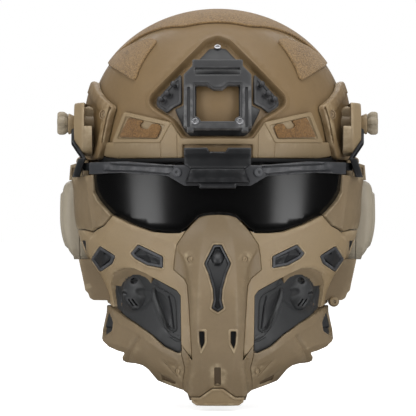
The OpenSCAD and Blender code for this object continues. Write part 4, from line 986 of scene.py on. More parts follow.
def visor_bracket():
    def seen(points):
        return bar_front_view(points, BAR_R + BAR_T + BRACKET_T)
    marks = [plain(seen(dense([[-25, z], [25, z]], 1.2, False)), -0.5, 0, 0.5, closed=False)
             for z in (-4.6, -2.2, 7.4, 8.8)]
    panel = [[-20, -4.6], [20, -4.6], [23.6, -14.6], [-23.6, -14.6]]
    marks.append(Mark(seen(curve(panel, 0.6, 1.0)), lambda d: 0.5 * ease(-0.1, 0.4, d)
                      - 0.6 * (1 - ease(0.2, 0.6, np.abs(d + 0.5))), (-1.0, -0.5, 0, 0.4)))
    notch = [[-7, 8.6], [7, 8.6], [6, 7.6], [-6, 7.6]]
    marks.append(level(seen(curve(notch, 0.3, 0.8)), -0.8, 0, 0.3, (0, 0.3)))

    def rise(p):
        z = p[:, 1]
        waist = 0.9 * ease(-2.2, -4.6, z) - 0.9 * ease(6.6, 4.6, z)
        return BRACKET_T + waist - 0.1 * np.clip(-4.6 - z, 0, 10)
    outline = seen(curve(both_sides(BRACKET), 0.8, 1.2))
    return plate(on_bracket, outline, BRACKET_T, 0.0, 1.1, 2.2, marks=marks, rise=rise)


def visor_arm():
    """The arm beside the flange's cone, its foot in front and the shoe behind the bar's end."""
    side_x = 100

    def cone(p, radius):
        r = np.hypot(p[:, 0] - PIVOT_Y, p[:, 1] - PIVOT_Z)
        return FLANGE_X - PLATE_T + (radius - r) / CONE_SLOPE

    def rise(p):
        return np.minimum(ARM_X + ARM_T, cone(p, CONE_LOW + 4.5)) - side_x

    def under(p, depths):
        return np.minimum(ARM_X, cone(p, CONE_LOW + 0.9)) - side_x
    bend = plain(dense(circle(PIVOT_Y, PIVOT_Z, 16, 64), 1.2), -0.8, 0, 0.8)
    outline = dense(arc(PIVOT_Y, PIVOT_Z, 5, -30, 200, 12) + [[-59.6, 3.3], [-47.0, 3.3]], 1.2)
    arm = plate(side_plane(side_x), outline, 0, 0, 0.5, 2.0, (), [bend], rise, under)
    foot = flat(front_plane(-51), [[FLANGE_X - 9, 5], [FLANGE_X - 3.3, 4], [FLANGE_X + 1.1, -10],
                                   [FLANGE_X - 4.2, -10]], 14, 0.5, 2)
    shoe = bar_front_view(dense([[95, -5], [104, -5], [104, 1], [95, 1]], 1.5), BAR_R)
    shoe = plate(on_bar, shoe, -0.4, -4, 0.5, 3)
    return joined(arm, foot, shoe)


def thumb_knob():
    """A knob with five lobes and a hollow face, on its own shaft."""
    lobe_at, lobe_r, waist = 6.5, 3.0, 6.6

    def lobed(r, z, t):
        if r < waist:
            return r
        a = (t + math.pi / 5) % (math.tau / 5) - math.pi / 5
        across = lobe_at * math.sin(a)
        reach = lobe_at * math.cos(a) + math.sqrt(lobe_r**2 - across**2) if abs(across) < lobe_r else lobe_at
        return max(waist, reach) - lobe_at - lobe_r + r
    profile = [(AXIS, 5.9), (2, 6.0), (4, 6.5), (5.8, 7.3), (7.2, 8), (8.2, 7.9), (8.9, 7.3), (9.4, 6.5),
               (9.5, 5.8), (9.5, 3.4), (9.3, 2.6), (8.6, 1.6), (7.8, 0.6), (7.4, 0), (2.5, 0), (2.5, -14.5),
               (AXIS, -14.5)]
    return turned_to(turned(profile, 90, lobed), (115.2, PIVOT_Y, PIVOT_Z), (1, 0, 0), (0, -1, 0))


def build_visor():
    outline = lens_front_view(curve(both_sides(LENS_EDGE), 2.5, 1.5, SEAM))
    band = level(lens_front_view(curve(both_sides(LENS_EDGE), 2.5, 1.5, 2.4)), 0.25, 0, 0.5)
    piece("lens_shell", plate(on_lens, outline, 0.0, -LENS_T, 0.5, 4, marks=[band]), LENS, "visor",
          node="visor_lens", sharp=30)
    pair("visor_bar_strip", visor_bar(), BAR, "visor", node="visor_bar_{side}")
    piece("visor_bracket", visor_bracket(), JET, "visor", node="visor_centre")
    turn = math.radians(15)
    heads = []
    for side in (-1, 1):
        out = np.array([side * math.sin(turn), -math.cos(turn), 0])
        at = np.array([0, LENS_Y, -7]) + out * (BAR_R + BAR_T + 0.05)
        heads.append(turned_to(screw(3.3, 1.4, 0.3), at, out))
    piece("visor_bolts", joined(*heads), DARK_STEEL, "visor", node="visor_screws")
    pair("visor_side_arm", visor_arm(), JET, "visor", node="visor_arm_{side}")
    puck = spun([(6.4, 4.6), (7.4, 4.6), (7.9, 4.2), (8, 3.6), (6.3, 0)], 48)
    pair("pivot_washer", turned_to(puck, (ARM_X, PIVOT_Y, PIVOT_Z), (1, 0, 0)), TAN, "visor",
         node="pivot_collar_{side}")
    pair("lobed_knob", thumb_knob(), KNOB, "knob_{side}", node="thumb_knob_{side}")


# Mask

CENTRE_SEAM = [[24, -51], [25.5, -53.5], [30.5, -61], [32, -69], [33, -80], [25, -86.5], [22.5, -91.5],
               [21, -113], [19.5, -137], [19, -147], [27, -136], [27, -143.5], [24.5, -153.5], [26, -164],
               [26, -171]]
CENTRE_TOP = [[0, -38.5], [8.5, -39], [14, -40.5], [19, -45.5]]
CHIN_TOP = [[20, -174.8], [13.5, -174.8], [4, -168], [0, -168]]
NOSE_INSERT = [[0, -61], [3, -61], [10, -75], [7, -82], [3.5, -94], [3, -102], [4.5, -108], [0, -111]]
SLOT = [[9.5, -125], [14, -125], [13.5, -134], [12, -138.5], [9.5, -134]]
RIM_INNER = [[0, -88], [20, -88], [18.5, -95], [18, -113], [16.5, -137], [16, -148], [21, -155], [22, -166],
             [18, -172], [0, -164]]
CHIN = [[0, -168], [4, -168], [13.5, -175], [20, -175], [19.5, -179], [16, -181.5], [0, -181.5]]
POD = [[82, -92], [79, -83], [71, -79.5], [63, -79.5], [55, -83], [31, -95.5], [28, -99.5], [27.5, -141.5],
       [31, -141.5], [41, -137], [50, -129], [63, -120.5], [71.5, -116], [79.5, -111]]
CHEEK = [[24, -50.4], [29, -52.4], [40, -52.4], [50, -51.4], [66, -45.9], [80.5, -38.9], [87.5, -47],
         [94, -50], [96.5, -52], [102.5, -50.5], [130, -50.5], [130, -60], [130, -66], [130, -71],
         [97.5, -76], [91.5, -83.5], [87, -91.5], [86, -102], [85.5, -107], [79.5, -110]] + POD[:7] + [
             [27.5, -136], [19, -147]] + CENTRE_SEAM[8:0:-1]
VENTS = [[[90, -62.5], [77.5, -70], [80, -76], [90.5, -83], [97.5, -73]],
         [[60, -61], [41, -70], [41, -79], [53, -77], [62.5, -72], [66, -68]]]
JAW_VENT = [[84, -112.5], [79.8, -121.3], [80.6, -127.5], [87.5, -132.5], [88.2, -129]]
TEMPLE = [[95.5, -8], [94.7, -21], [91, -28], [81.2, -38.6], [80.8, -39], [87.7, -46.6], [94.2, -49.5],
          [96.6, -51.5], [102.5, -50], [130, -50], [130, -10], [112.5, -10]]
JAW = [[27, -142], [31, -142], [41, -137.5], [50, -129.5], [63, -121], [71.5, -116.5], [79.5, -111.5],
       [86, -108], [86, -114], [89, -127.5], [89.6, -135], [84.2, -140.2], [77, -142.8], [71.5, -144],
       [73.4, -147], [73.3, -150.6], [70, -152.2], [62.5, -152.2], [57, -153.4], [53, -156.2],
       [49.5, -160.8], [45.9, -165.3], [39, -167.4], [26, -171], [26, -164], [24.5, -153.5], [27, -143.5]]
CHIN_SLOT = [[43, -159.5], [31.5, -164.5], [32, -166.5], [42, -163.5]]
MOUTH = [[-2.5, -166], [2.5, -166], [2.5, -152], [-2.5, -152]]
SLOT_DEEP = 2.4
MASK_FIX = [[20.5, -72], [22.5, -134], [30, -156]]


def on_face(points, d=0.0, radius=1.0, step=1.2):
    """A front-view outline, moved in by d, rounded, and laid on the flat mask."""
    return mask_front_view(curve(points, radius, step, d))


def face_line(points, step=1.2):
    return mask_front_view(dense(points, step, False))


def lip_at(points, d=-0.2, height=0.5, wide=1.6):
    """A raised rim round an opening."""
    return Mark(on_face(points, d), lambda s: height * ease(-wide - 0.4, -wide, s),
                rows=(-wide - 0.4, -wide, -wide / 2))


def mask_centre():
    outline = both_sides(CENTRE_TOP + CENTRE_SEAM + CHIN_TOP)
    insert = both_sides(NOSE_INSERT)
    slots = (SLOT, flip(SLOT))
    marks = []
    for side in (-1, 1):
        for column, more in ((1, 0), (3, 0), (3, 1.5)):
            line = [[side * (float(look_up(RIDGE, z, column)) + more), z] for z in np.arange(-46, -172, -4.0)]
            marks.append(plain(dense(line, 2.0, False), -0.8, 0, 0.8, closed=False))
    marks += [level(curve(s, 1.5, 1.0, -1.4), 0.45, -0.4, 0) for s in (insert, *slots)]
    marks += [level(curve(s, 1.2, 0.8), -SLOT_DEEP, -0.1, 0.3) for s in (*slots, MOUTH)]
    x, z = MASK_FIX[0]
    marks += [level(dense(circle(x * side, z, 2.3), 0.7), -0.8, 0, 0.3, (0, 0.3)) for side in (-1, 1)]
    rim = curve(outline, 0.6, 1.2, SEAM / 2)
    face = plate(on_ridge, rim, 0.0, -MASK_T, 0.6, 2.6, [curve(insert, 0.8, 1.0)], marks)
    low = curve([[33 - SEAM, -84], [-33 + SEAM, -84]] + [p for p in outline if p[1] < -84], 0.5, 1.6, 0.3)
    ring = plate(on_ridge, low, -1.2, -16, 0.3, 3.0, [dense(both_sides(RIM_INNER), 1.6)])
    piece("mask_centre_face", joined(face, ring), TAN_SHADED_COPY, node="mask_centre", sharp=32)
    # Black floors at the bottom of the centre slots: painted shade in the slots
    floors = [plate(on_ridge, curve(s, 1.1, 0.8, 0.15), 0.5 - SLOT_DEEP, -SLOT_DEEP - 0.2, 0.1, 1.5)
              for s in slots]
    piece("centre_slot_floors", joined(*floors), JET)
    # Dark tan floor in the mouth slot: painted shade in the slot
    floor = plate(on_ridge, dense(inset(MOUTH, 0.15), 0.8), 0.3 - SLOT_DEEP, -SLOT_DEEP - 0.2, 0.1, 1.5)
    piece("chin_slot_floor", floor, SHADE_TAN)


def nose_insert():
    """A spade-shaped plate with a hollow face and a round nose, and its flange behind."""
    outline = both_sides(NOSE_INSERT)
    nose_z, nose_x_r, nose_z_r = -70.5, 4.6, 5.4

    def rise(p):
        r = np.hypot(p[:, 0] / nose_x_r, (p[:, 1] - nose_z) / nose_z_r)
        return 0.8 + 3.4 * np.sqrt(np.clip(1 - r**2, 0, 1))
    marks = [level(curve(outline, 0.6, 0.8, 1.7), -1.6, 0, 0.5),
             plain(dense(circle(0, nose_z, nose_x_r, 40), 0.7), -0.5, 0, 0.5, 1.2, 2.2)]
    shape = plate(on_ridge, curve(outline, 0.8, 0.8, SEAM), 0.8, -MASK_T, 0.4, 1.3, marks=marks, rise=rise)
    behind = plate(on_ridge, curve(outline, 1.5, 1.2, -2.2), -MASK_T - 0.2, -MASK_T - 1.2, 0.2, 2)
    piece("nose_guard_insert", joined(shape, behind), JET, node="nose_insert", sharp=30)


def lens_seal():
    """A soft black band behind the lens's lower edge, against the inside of the cheeks."""
    low = [[88, -39], [84, -42], [68, -49.3], [51, -55], [40.5, -56], [29.5, -56]]
    top = [[29.5, -48.5], [40, -48.5], [49.5, -47.6], [65, -42.5], [79, -36.5], [87, -27]]

    def rise(p):
        at = on_mask(p, -3.8)
        over = np.hypot(at[:, 0], at[:, 1] - LENS_Y) - (lens_radius(at[:, 2]) - LENS_T - 0.8)
        return -4.6 - 1.4 * np.maximum(0, over + 0.6)

    def under(p, depths):
        return np.minimum(-8.5, rise(p) - 0.6)
    band = plate(on_mask, mask_front_view(dense(low + top, 1.5)), 0, 0, 0.4, 3, (), (), rise, under)
    piece("lens_edge_seal", with_mirror(band), RUBBER, node="lens_seal")


def side_vent(grown=0.0):
    """The slot on the side of the cheek, laid out flat."""
    rows = np.linspace(-58.8 + grown, -69.8 - grown, 12)
    front = [p for p in mask_front_view(np.array([[101.6, z] for z in rows])).tolist() if p[0] < 147]
    loop = [[x - grown, z] for x, z in front] + [[150.0 + grown, z] for x, z in reversed(front)]
    return curve(loop, 0.6, 1.0)


# The upper outer field of the cheek leans in from a fold that starts here
CORNER = [77.2, -45]


def cheek():
    c, s = 0.751, 0.663
    holes = [on_face(v, 0, 1.4) for v in VENTS] + [side_vent()]
    hood = [[49, -87.5], [55, -84.5], [60, -80.5], [66, -77.5], [72, -77], [78.5, -79.5], [82.5, -84],
            [84.5, -91.5]]
    under_lens = [[79.5, -41.5], [66, -48.6], [50.9, -54.5], [40, -57.5], [31, -61.5]]
    marks = [lip_at(v, 0, 0.4, 1.2) for v in VENTS]
    marks += [groove(face_line(hood), 0.7, 0.4, 3.0, 0.8, 1.6), fold(face_line(under_lens, 1.6), 0.6, 3.2),
              plain(face_line([CORNER, [90, -59.5], [91, -61]], 1.6), -0.7, 0, 0.7, closed=False),
              fold(face_line([[95, -54], [98.6, -60], [98.6, -71]], 1.6), 0.7, 2.6)]

    def rise(p):
        at = on_mask(p, 0.0)
        x, z = np.abs(at[:, 0]) - CORNER[0], at[:, 2] - CORNER[1]
        away, along = x * c + z * s, x * s - z * c
        return -0.2 * np.clip(away, 0, 12) * ease(22, 18, along) * ease(-10, -2, along)
    return plate(on_mask, on_face(CHEEK, SEAM / 2, 0.8, 1.6), 0.0, -MASK_T - 2, 0.7, 3.4, holes, marks, rise)


def vent_rim(points):
    return plate(on_mask, on_face(points, SEAM, 1.2), 0.7, -MASK_T, 0.5, 2.2, [on_face(points, 2.3, 0.9)])


def vent_floors():
    """The sunken faces inside the vents."""
    outer, middle = VENTS
    bar = groove(face_line([[80.6, -72.6], [90.2, -80.6]], 0.9), -1.6, 0.9, 1.4, 0.9, 1.4)
    corner = mask_front_view(dense([[87.6, -65.4], [82.2, -68.6], [87.6, -69.2]], 0.8))
    corner = level(corner, -1.3, 0, 0.4, (0, 0.4))
    first = plate(on_mask, on_face(outer, 2.1, 0.9), -0.5, -MASK_T - 0.8, 0.2, 2.0, marks=[bar, corner])
    folds = [fold(face_line(line, 1.0), 1.3, 3) for line in ([[62, -69.5], [52, -69], [44, -72.5]],
                                                             [[52, -69], [49, -77]])]
    second = plate(on_mask, on_face(middle, 2.1, 0.9), -1.6, -MASK_T - 0.8, 0.2, 2.0, marks=folds)
    side = plate(on_mask, side_vent(0.4), -0.8, -MASK_T, 0.2, 2.5)
    step_up = [[84, -112.5], [79.8, -121.3], [80.2, -125], [89, -125]]
    jaw_step = level(on_face(step_up, -0.3, 0.4), 1.4, -0.3, 0.1, (-0.3, 0.1))
    low = plate(on_mask, on_face(JAW_VENT, -0.4, 0.8), -2.2, -MASK_T, 0.2, 2.0, marks=[jaw_step])
    return joined(first, second, side, low)


POD_PANEL = [[50.2, -92], [38, -97.4], [34.6, -100], [33, -104], [32, -124.6], [34.5, -126], [37.8, -125],
             [42.2, -113.6], [46.8, -102]]
POD_BULGE = mask_front_view(np.array([[58.0, -118.0]]))[0]
FAN_AT, FAN_TURN = (60.0, -97.0), math.radians(32)
# The middle of the dome in the front view, and on the dome's own plane, with its radius
DOME, DOME_X, DOME_Z, DOME_R = (64.4, -97.5), 2.0, -0.5, 14.2
HOOD = [[82, -92], [79, -83], [71, -79.5], [63, -79.5], [55, -83], [50.5, -85.4]]


def from_dome(p):
    at = on_mask(p, 0.0)
    return np.hypot(np.abs(at[:, 0]) - DOME[0], at[:, 2] - DOME[1])


def pod_face(p):
    """Height of the pod's cover: a low bulge, sunken round the dome."""
    r = np.hypot((p[:, 0] - POD_BULGE[0]) / 30, (p[:, 1] - POD_BULGE[1]) / 26)
    near = from_dome(p)
    return (-2.4 + 2.2 * np.sqrt(np.clip(1 - r**2, 0, 1)) - 2.6 * ease(15.5, 12.5, near)
            - 2.0 * ease(20, 17, near) * ease(-98, -92, p[:, 1]))


def pod_hood():
    """The tan hollow over the dome, deeper towards the dome."""
    outline = on_face(HOOD + arc(*DOME, DOME_R - 1.6, 150, 10, -10), -0.5, 0.8)

    def rise(p):
        return -0.9 - 3.4 * ease(19.5, 13.0, from_dome(p))
    return plate(on_mask, outline, -0.9, -7.5, 0.1, 1.8, rise=rise)


def pod_shade():
    """The dark floor of the pod's sunken panel: painted shade in the recess."""
    ridge = groove(face_line([[38.4, -101], [36.6, -107.7], [34.6, -123]]), 1.1, 0.2, 1.0)
    return plate(on_mask, on_face(POD_PANEL, 0.9, 1.0), 0, -5.5, 0.1, 2.4, marks=[ridge],
                 rise=lambda p: pod_face(p) - 2.0)


def pod():
    """The cover with its sunken panel, spine and lip, and the flap behind it."""
    frame_line = Mark(on_face(POD_PANEL, -0.7, 1.4), lambda d: 0.6 * (1 - ease(0.2, 0.7, np.abs(d))),
                      (-0.7, 0, 0.6))
    spine = [[54.4, -86], [50.4, -97], [46.6, -108], [41, -121], [35.6, -128.2], [27.6, -131.6]]
    marks = [level(on_face(POD_PANEL, 0, 1.2), -2.4, 0, 0.8, (-0.2, 0, 0.3, 0.6, 0.8)), frame_line,
             groove(face_line(spine), 0.9, 1.1, 1.6),
             groove(face_line([[36.6, -130], [32.5, -132.6], [27, -134]]), -0.8, 0.3, 0.8),
             groove(face_line([[79.2, -92], [76, -108.6]]), -1.4, 1.0, 1.5)]
    cover = plate(on_mask, on_face(POD, SEAM, 0.8, 1.4), -2.4, -7.5, 0.6, 2.4, marks=marks, rise=pod_face)
    edge = [p for p in inset(POD, -3).tolist() if p[1] > -143 and p[0] > 28]
    flap = edge[:6] + [[27, -97.5], [27, -133], [28.5, -133], [28.5, -144.4]] + edge[6:]
    return joined(cover, plate(on_mask, mask_front_view(dense(flap, 1.6)), -4.2, -7.5, 0.3, 4))


def fan_place():
    x, z = FAN_AT
    at = np.array([x, float(mask_depth(x, z, -3)), z])
    return at, np.array([math.sin(FAN_TURN), -math.cos(FAN_TURN), 0])


def turbine():
    """The pod's dome: a rounded cap with an oval mouth, a dark hollow, an arch and slanted slots."""
    place = plane(fan_place()[0], (math.cos(FAN_TURN), math.sin(FAN_TURN), 0), (0, 0, 1))
    slots = [[[x, -5.2], [x + 1.4, -5.8], [x - 1.6, -11], [x - 3, -10.4]] for x in (5.6, 2.0)]
    mouth, hollow = ellipse(2.2, 8.3, 3.3, 2.5, 0.3), ellipse(-5.6, -0.4, 5.4, 3.7, 0.8, 36)
    marks = [level(dense(mouth, 0.8), -2.6, 0, 0.5, (-0.1, 0.2, 0.5)),
             level(dense(hollow, 0.8), -1.7, 0, 2.6, (0, 0.8, 1.7, 2.6))]
    marks += [level(curve(s, 0.4, 0.6), -3.4, 0, 0.3, (0, 0.3)) for s in slots]
    lines = (([[15.4, -4.2], [14.2, -1.4], [12, -0.5], [8.6, -1.0]], -1.5, 0.8),
             ([[-0.6, 7.8], [5, 8.4]], 2.0, 0.5))
    marks += [groove(dense(line, 0.8, False), height, wide - 0.4, wide) for line, height, wide in lines]

    def rise(p):
        r = np.hypot(p[:, 0] - DOME_X, p[:, 1] - DOME_Z) / (DOME_R + 0.1)
        return -5 + 10.5 * np.sqrt(np.clip(1 - r**2, 0.02, 1))
    outline = dense(circle(DOME_X, DOME_Z, DOME_R, 48), 1.0)
    return plate(place, outline, 4.0, -6.0, 0.3, 1.3, marks=marks, rise=rise)


def fan():
    """A ring with a hub on three ribs, and the rotor with its nine leaning blades."""
    at, out = fan_place()
    low, n, lean_in = -16.0, 48, math.radians(35)
    points, faces = turned([(14.4, 9), (15.2, 9), (15.2, 0), (14.4, 0)], n)
    ring = points, faces[:-2] + [(3 * n + i, 3 * n + (i + 1) % n, (i + 1) % n, i) for i in range(n)]
    hub = spun([(5, 1.5), (5, 0)])
    ribs = []
    for a in (0, 120, 240):
        c, s = math.cos(math.radians(a)), math.sin(math.radians(a))
        place = plane((0, 0, 0), (c, s, 0), (-s, c, 0))
        ribs.append(flat(place, [[4, -1], [14.8, -1], [14.8, 1], [4, 1]], 1.5, 0.3, 3))
    cage = turned_to(joined(ring, hub, *ribs), at + out * low, out)
    pair("fan_cage", cage, DARK, node="fan_frame_{side}")
    blades = [spun([(4.6, 6), (5.5, 5.2), (5.5, 0), (1.2, 0), (1.2, -1.5)])]
    for i in range(9):
        a = math.tau * i / 9
        c, s = math.cos(a), math.sin(a)
        up = (-s * math.cos(lean_in), c * math.cos(lean_in), math.sin(lean_in))
        place = plane((0, 0, 0.6), (c, s, 0), up)
        blades.append(flat(place, [[4.5, -0.2], [13.5, -0.8], [13.6, 5.2], [4.5, 4.4]], 1.2, 0.3, 3))
    rotor = turned_to(joined(*blades), at + out * (low + 1.8), out)
    pair("fan_blades", rotor, GREY, "fan_{side}", node="fan_rotor_{side}")


def jaw():
    ledge = [[30, -147.5], [40, -142.5], [51, -134], [62, -126.5], [74, -121], [80, -114]]
    field = [[41.7, -147.9], [29, -151.4], [29.7, -161.6]]
    marks = [fold(face_line(ledge, 1.4), 0.9, 3.4), level(on_face(field), -0.6, 0, 0.6),
             level(on_face(JAW_VENT, 0, 0.8), 0.5, -1.2, -0.5, (-1.2, -0.5)),
             groove(face_line([[60, -131], [66, -141], [70, -151]], 1.4), -1.3, 0.2, 2.4),
             fold(face_line([[66, -141], [74, -138], [88, -136]], 1.4), 0.5, 2),
             level(on_face(CHIN_SLOT, 0, 0.6, 1.0), -1.8, -0.1, 0.3),
             level(on_face(circle(*MASK_FIX[2], 2.3, 24), 0, 0.2, 0.7), -0.8, 0, 0.3, (0, 0.3))]
    outline = on_face(JAW, SEAM / 2, 0.8, 1.5)
    return plate(on_mask, outline, 0.0, -MASK_T, 0.8, 3.4, [on_face(JAW_VENT, 0, 0.8)], marks)


def seam_backings():
    """Thin strips behind the seams of the mask, so that no light comes through them."""
    strips = ([[14, -140], [29, -134], [30, -151], [16, -152]],
              [[75, -107], [88, -102], [91, -113], [78, -116]])
    low, high = -MASK_T - 1.3, -MASK_T - 0.3
    both = joined(*[plate(on_mask, mask_front_view(dense(s, 1.5)), high, low, 0.2, 3) for s in strips])
    chin = dense(both_sides([[0, -164.5], [5, -165.5], [23, -172], [21, -178], [0, -173]]), 1.5)
    return joined(both, mirrored(both), plate(on_ridge, chin, high - 2, low - 2, 0.2, 3))


def bevel_depth(x, z):
    a, b = look_up(RIDGE, z, 1), look_up(RIDGE, z, 3)
    return mix(look_up(RIDGE, z, 2), look_up(RIDGE, z, 4), (x - a) / (b - a))


def mask_screw(x, z):
    """A small round head, square to the face it is sunk in."""
    face = bevel_depth if z > -100 else mask_depth
    slope = float(face(x + 1, z) - face(x - 1, z)) / 2
    out = np.array([slope, -1.0, 0.0]) / math.hypot(slope, 1)
    return turned_to(screw(2.1, 0.8, 0.5), np.array([x, float(face(x, z)), z]) - out * 0.85, out)


def temple():
    marks = [groove(face_line([[94.6, -22], [91, -28.6], [81.6, -39]], 1.5), 0.7, 0.8, 1.8),
             fold(face_line([[99.5, -12], [97.6, -28], [94.6, -48.5]], 1.6), 0.9, 3.5, 1.7, 3.5)]
    panel = plate(on_mask, on_face(TEMPLE, SEAM / 2, 0.8, 1.8), 0.0, -MASK_T, 0.8, 4, marks=marks)
    strap = [[99.5, 3.2], [99.5, -24], [110.4, -24], [110.4, -15], [104, -13], [104, 3.2]]
    return joined(panel, flat(front_plane(-14), strap, 22, 0.6, 5))


def build_mask():
    mask_centre()
    nose_insert()
    lens_seal()
    pair("cheek_panel", cheek(), TAN, node="cheek_{side}")
    pair("vent_rims", joined(*[vent_rim(v) for v in VENTS]), GREY, node="vents_{side}")
    pair("vent_faces", vent_floors(), VENT_BLACK)
    pair("temple_panel", temple(), TAN_SHADED_COPY, node="temple_arm_{side}")
    # A dark tan web behind the temple: painted shadow in the gap under the rail flange
    web = [[84, 9], [100.5, 9], [100.5, -12], [88, -12]]
    pair("temple_web", flat(front_plane(-26), web, 2.5, 0.4, 4), SHADE_TAN)
    pair("jaw_panel", jaw(), TAN_SHADED_COPY, node="jaw_{side}")
    # Dark tan floor in the chin slot: painted shade in the slot
    shade = plate(on_mask, on_face(inset(CHIN_SLOT, 0.15), 0, 0.5, 1.0), -1.4, -2.0, 0.1, 2)
    pair("jaw_slot_floor", shade, SHADE_TAN)
    # The strips are dark tan: painted shade seen through the mask's seams
    piece("seam_strips", seam_backings(), SHADE_TAN)
    pair("pod_cover", joined(pod(), turbine()), POD_GREY, node="pod_{side}")
    pair("pod_hood", pod_hood(), TAN_SHADED_COPY)
    # Black floor in the pod's sunken panel: painted shade
    pair("pod_panel_floor", pod_shade(), JET)
    fan()
    chin = both_sides(CHIN)
    band = level(curve(chin, 0.6, 1.0, 1.8), -0.6, 0, 0.5)
    chin = plate(on_ridge, curve(chin, 0.6, 1.0, 0.2), 2.0, -MASK_T - 2, 0.7, 1.8, marks=[band])
    piece("chin_plate", chin, TAN, node="chin_guard")
    heads = joined(*[mask_screw(x, z) for x, z in MASK_FIX])
    bolt = turned_to(screw(3.2, 2.4), (BOLT[0], GUARD_FRONT - 0.6, BOLT[1]), (0, -1, 0))
    piece("mask_bolts", joined(with_mirror(heads), bolt), TAN, node="mask_screws")


GUARD = [[107, -73], [102.8, -92.5], [102, -97], [99.8, -99.2], [98.4, -103], [95.7, -104.6], [78, -104.9],
         [78, -102], [94, -101.6], [96, -98.5], [99, -96.5], [99.8, -92], [104, -73]]
GUARD_FACE = GUARD[:7] + [[78, -85], [90, -76], [98, -73]]
GUARD_FRONT, BOLT = -42.0, (89.5, -105.5)


def rear_guard():
    """A side panel with a folded lip below, closed at the front by a thin wall."""
    wall = flat(front_plane(GUARD_FRONT + 3.5), rounded(GUARD_FACE, 0.8), 3.5, 0.8, 4)
    ring = dense(rounded(GUARD, 0.8), 3.0)
    sections = []
    for y in (GUARD_FRONT + 1, -30, -18, -8.5, -7.5, 6, 20, 34, 37, 40, 43, 46):
        top = -72.0 if y < -8 else -77.5 - max(0, y - 34) * 0.7
        low = -106.0 + max(0, y - 36) * 2
        z = np.clip(ring[:, 1], min(low, top - 1), top)
        x = ring[:, 0] - 0.2 * np.maximum(0, ring[:, 1] - top)
        sections.append(np.stack([x, np.full(len(ring), float(y)), z], -1))
    return joined(wall, swept(sections, False))


def guard_boss():
    boss = spun([(3.6, 12.5), (4.2, 11.9), (4.2, 0)])
    return turned_to(boss, (BOLT[0], GUARD_FRONT + 12, BOLT[1]), (0, -1, 0))


# Ears

def oval(inset_by, power):
    """Ring of y, z places of an ear cup's outline moved in by some millimetres."""
    t = np.linspace(0, math.tau, 96, endpoint=False)
    c, s = np.cos(t), np.sin(t)
    y = (EAR_L / 2 - inset_by) * np.sign(c) * np.abs(c)**(2 / power)
    z = (EAR_H / 2 - inset_by) * np.sign(s) * np.abs(s)**(2 / power)
    return np.stack([EAR_Y + y, EAR_TOP - EAR_H / 2 + z], -1)


EAR_CURVE, EAR_CURVE_Z = 80.0, -40.0


def ear_cup():
    rows = [(-26, 0.6, 3.2), (-25.2, 0, 3.2), (-17, 0, 3.2), (-16.6, 0.6, 3.2), (-15.8, 0.6, 3.2),
            (-15.4, 0, 3.2), (-9, 0, 3.2), (-6.4, 0.7, 3.2), (-4.4, 2.0, 3.1), (-3, 4.0, 3.0),
            (-2.2, 6.5, 2.9), (-2.0, 8.6, 2.8),
            (-1.2, 9.0, 2.7), (-1.0, 9.6, 2.6), (-0.2, 10.4, 2.5), (-0.1, 12, 2.4), (-0.1, 13.2, 2.3),
            (-1.1, 13.6, 2.2), (-1.1, 14.8, 2.1), (-0.1, 15.2, 2.1), (0.0, 17, 2.0), (0.0, 26, 2.0)]
    sections = []
    for x, d, power in rows:
        ring = oval(d, power)
        drop = np.maximum(0, EAR_CURVE_Z - ring[:, 1])
        inward = (EAR_CURVE - np.sqrt(EAR_CURVE**2 - drop**2)) * float(ease(-12, -3, x))
        sections.append(np.stack([EAR_X + x - inward, ring[:, 0], ring[:, 1]], -1))
    back = oval(9, 2.6)
    for x in (-26, -15.5):
        sections.insert(0, np.concatenate([np.full((len(back), 1), EAR_X + x), back], axis=1))
    return swept(sections, False)


def ear_cushion():
    """A ring of padded cloth, fuller in the middle of its width, with a piped seam at the cup."""
    x0, x1 = EAR_X - 40, EAR_X - 26.3
    outer, middle = oval(2.5, 2.8), np.array([EAR_Y, EAR_TOP - EAR_H / 2])
    sections = []
    for i, p in enumerate(outer):
        out = (p - middle) / np.linalg.norm(p - middle)
        inner = middle + out * 17.5
        wide = np.linalg.norm(p - inner)
        turn = math.tau * i / len(outer)
        wave = 0.25 * math.sin(11 * turn) + 0.2 * math.sin(7 * turn + 1)
        ring = []
        for t in np.linspace(0, math.tau, 20, endpoint=False):
            across = 0.5 + 0.5 * np.sign(math.cos(t)) * abs(math.cos(t))**0.75
            along = 0.5 + 0.5 * np.sign(math.sin(t)) * abs(math.sin(t))**0.8
            crease = 0.6 if abs(t - 5.9) < 0.2 else 0.0
            at = inner + out * (across * wide - crease)
            ring.append([mix(x1, x0 - wave, along), at[0], at[1]])
        sections.append(np.array(ring))
    return swept(sections)


def ear_arm():
    """The hinge arm between the rail and the cup, seen from the front."""
    pin_x, pin_z, pin_r, low, high = 107.5, 3.0, 3.5, 14.3, 33.7
    eye = arc(pin_x, pin_z, pin_r, 200, -30, -15)
    shape = [[pin_x - 1, pin_z - 3]] + eye + [[pin_x + 8, pin_z - 3], [pin_x + 9, EAR_TOP + SEAT],
                                              [pin_x - 2, EAR_TOP + SEAT]]
    sunk = level(curve([[108, -1], [115, -1], [115.5, -9], [107, -9]], 0.8, 0.9, 0.8), -0.8, 0, 0.5)
    return flat(front_plane(high), shape, high - low, 0.7, 3, marks=[sunk], spacing=1.2)


def build_ears():
    pair("ear_cup_shell", ear_cup(), CUP, "ear_{side}", node="ear_cup_{side}")
    rings = pair("ear_cushion_ring", ear_cushion(), FOAM, "ear_{side}", node="ear_cushion_{side}", sharp=60)
    pair("ear_hinge_arm", ear_arm(), TAN_SHADED_COPY, "ear_{side}", node="ear_arm_{side}")


# Liner

def crowned(d, wide):
    """A round rise from 0 to 1 over some millimetres."""
    return np.sqrt(np.clip(1 - (1 - np.clip(d / wide, 0, 1))**2, 0, 1))


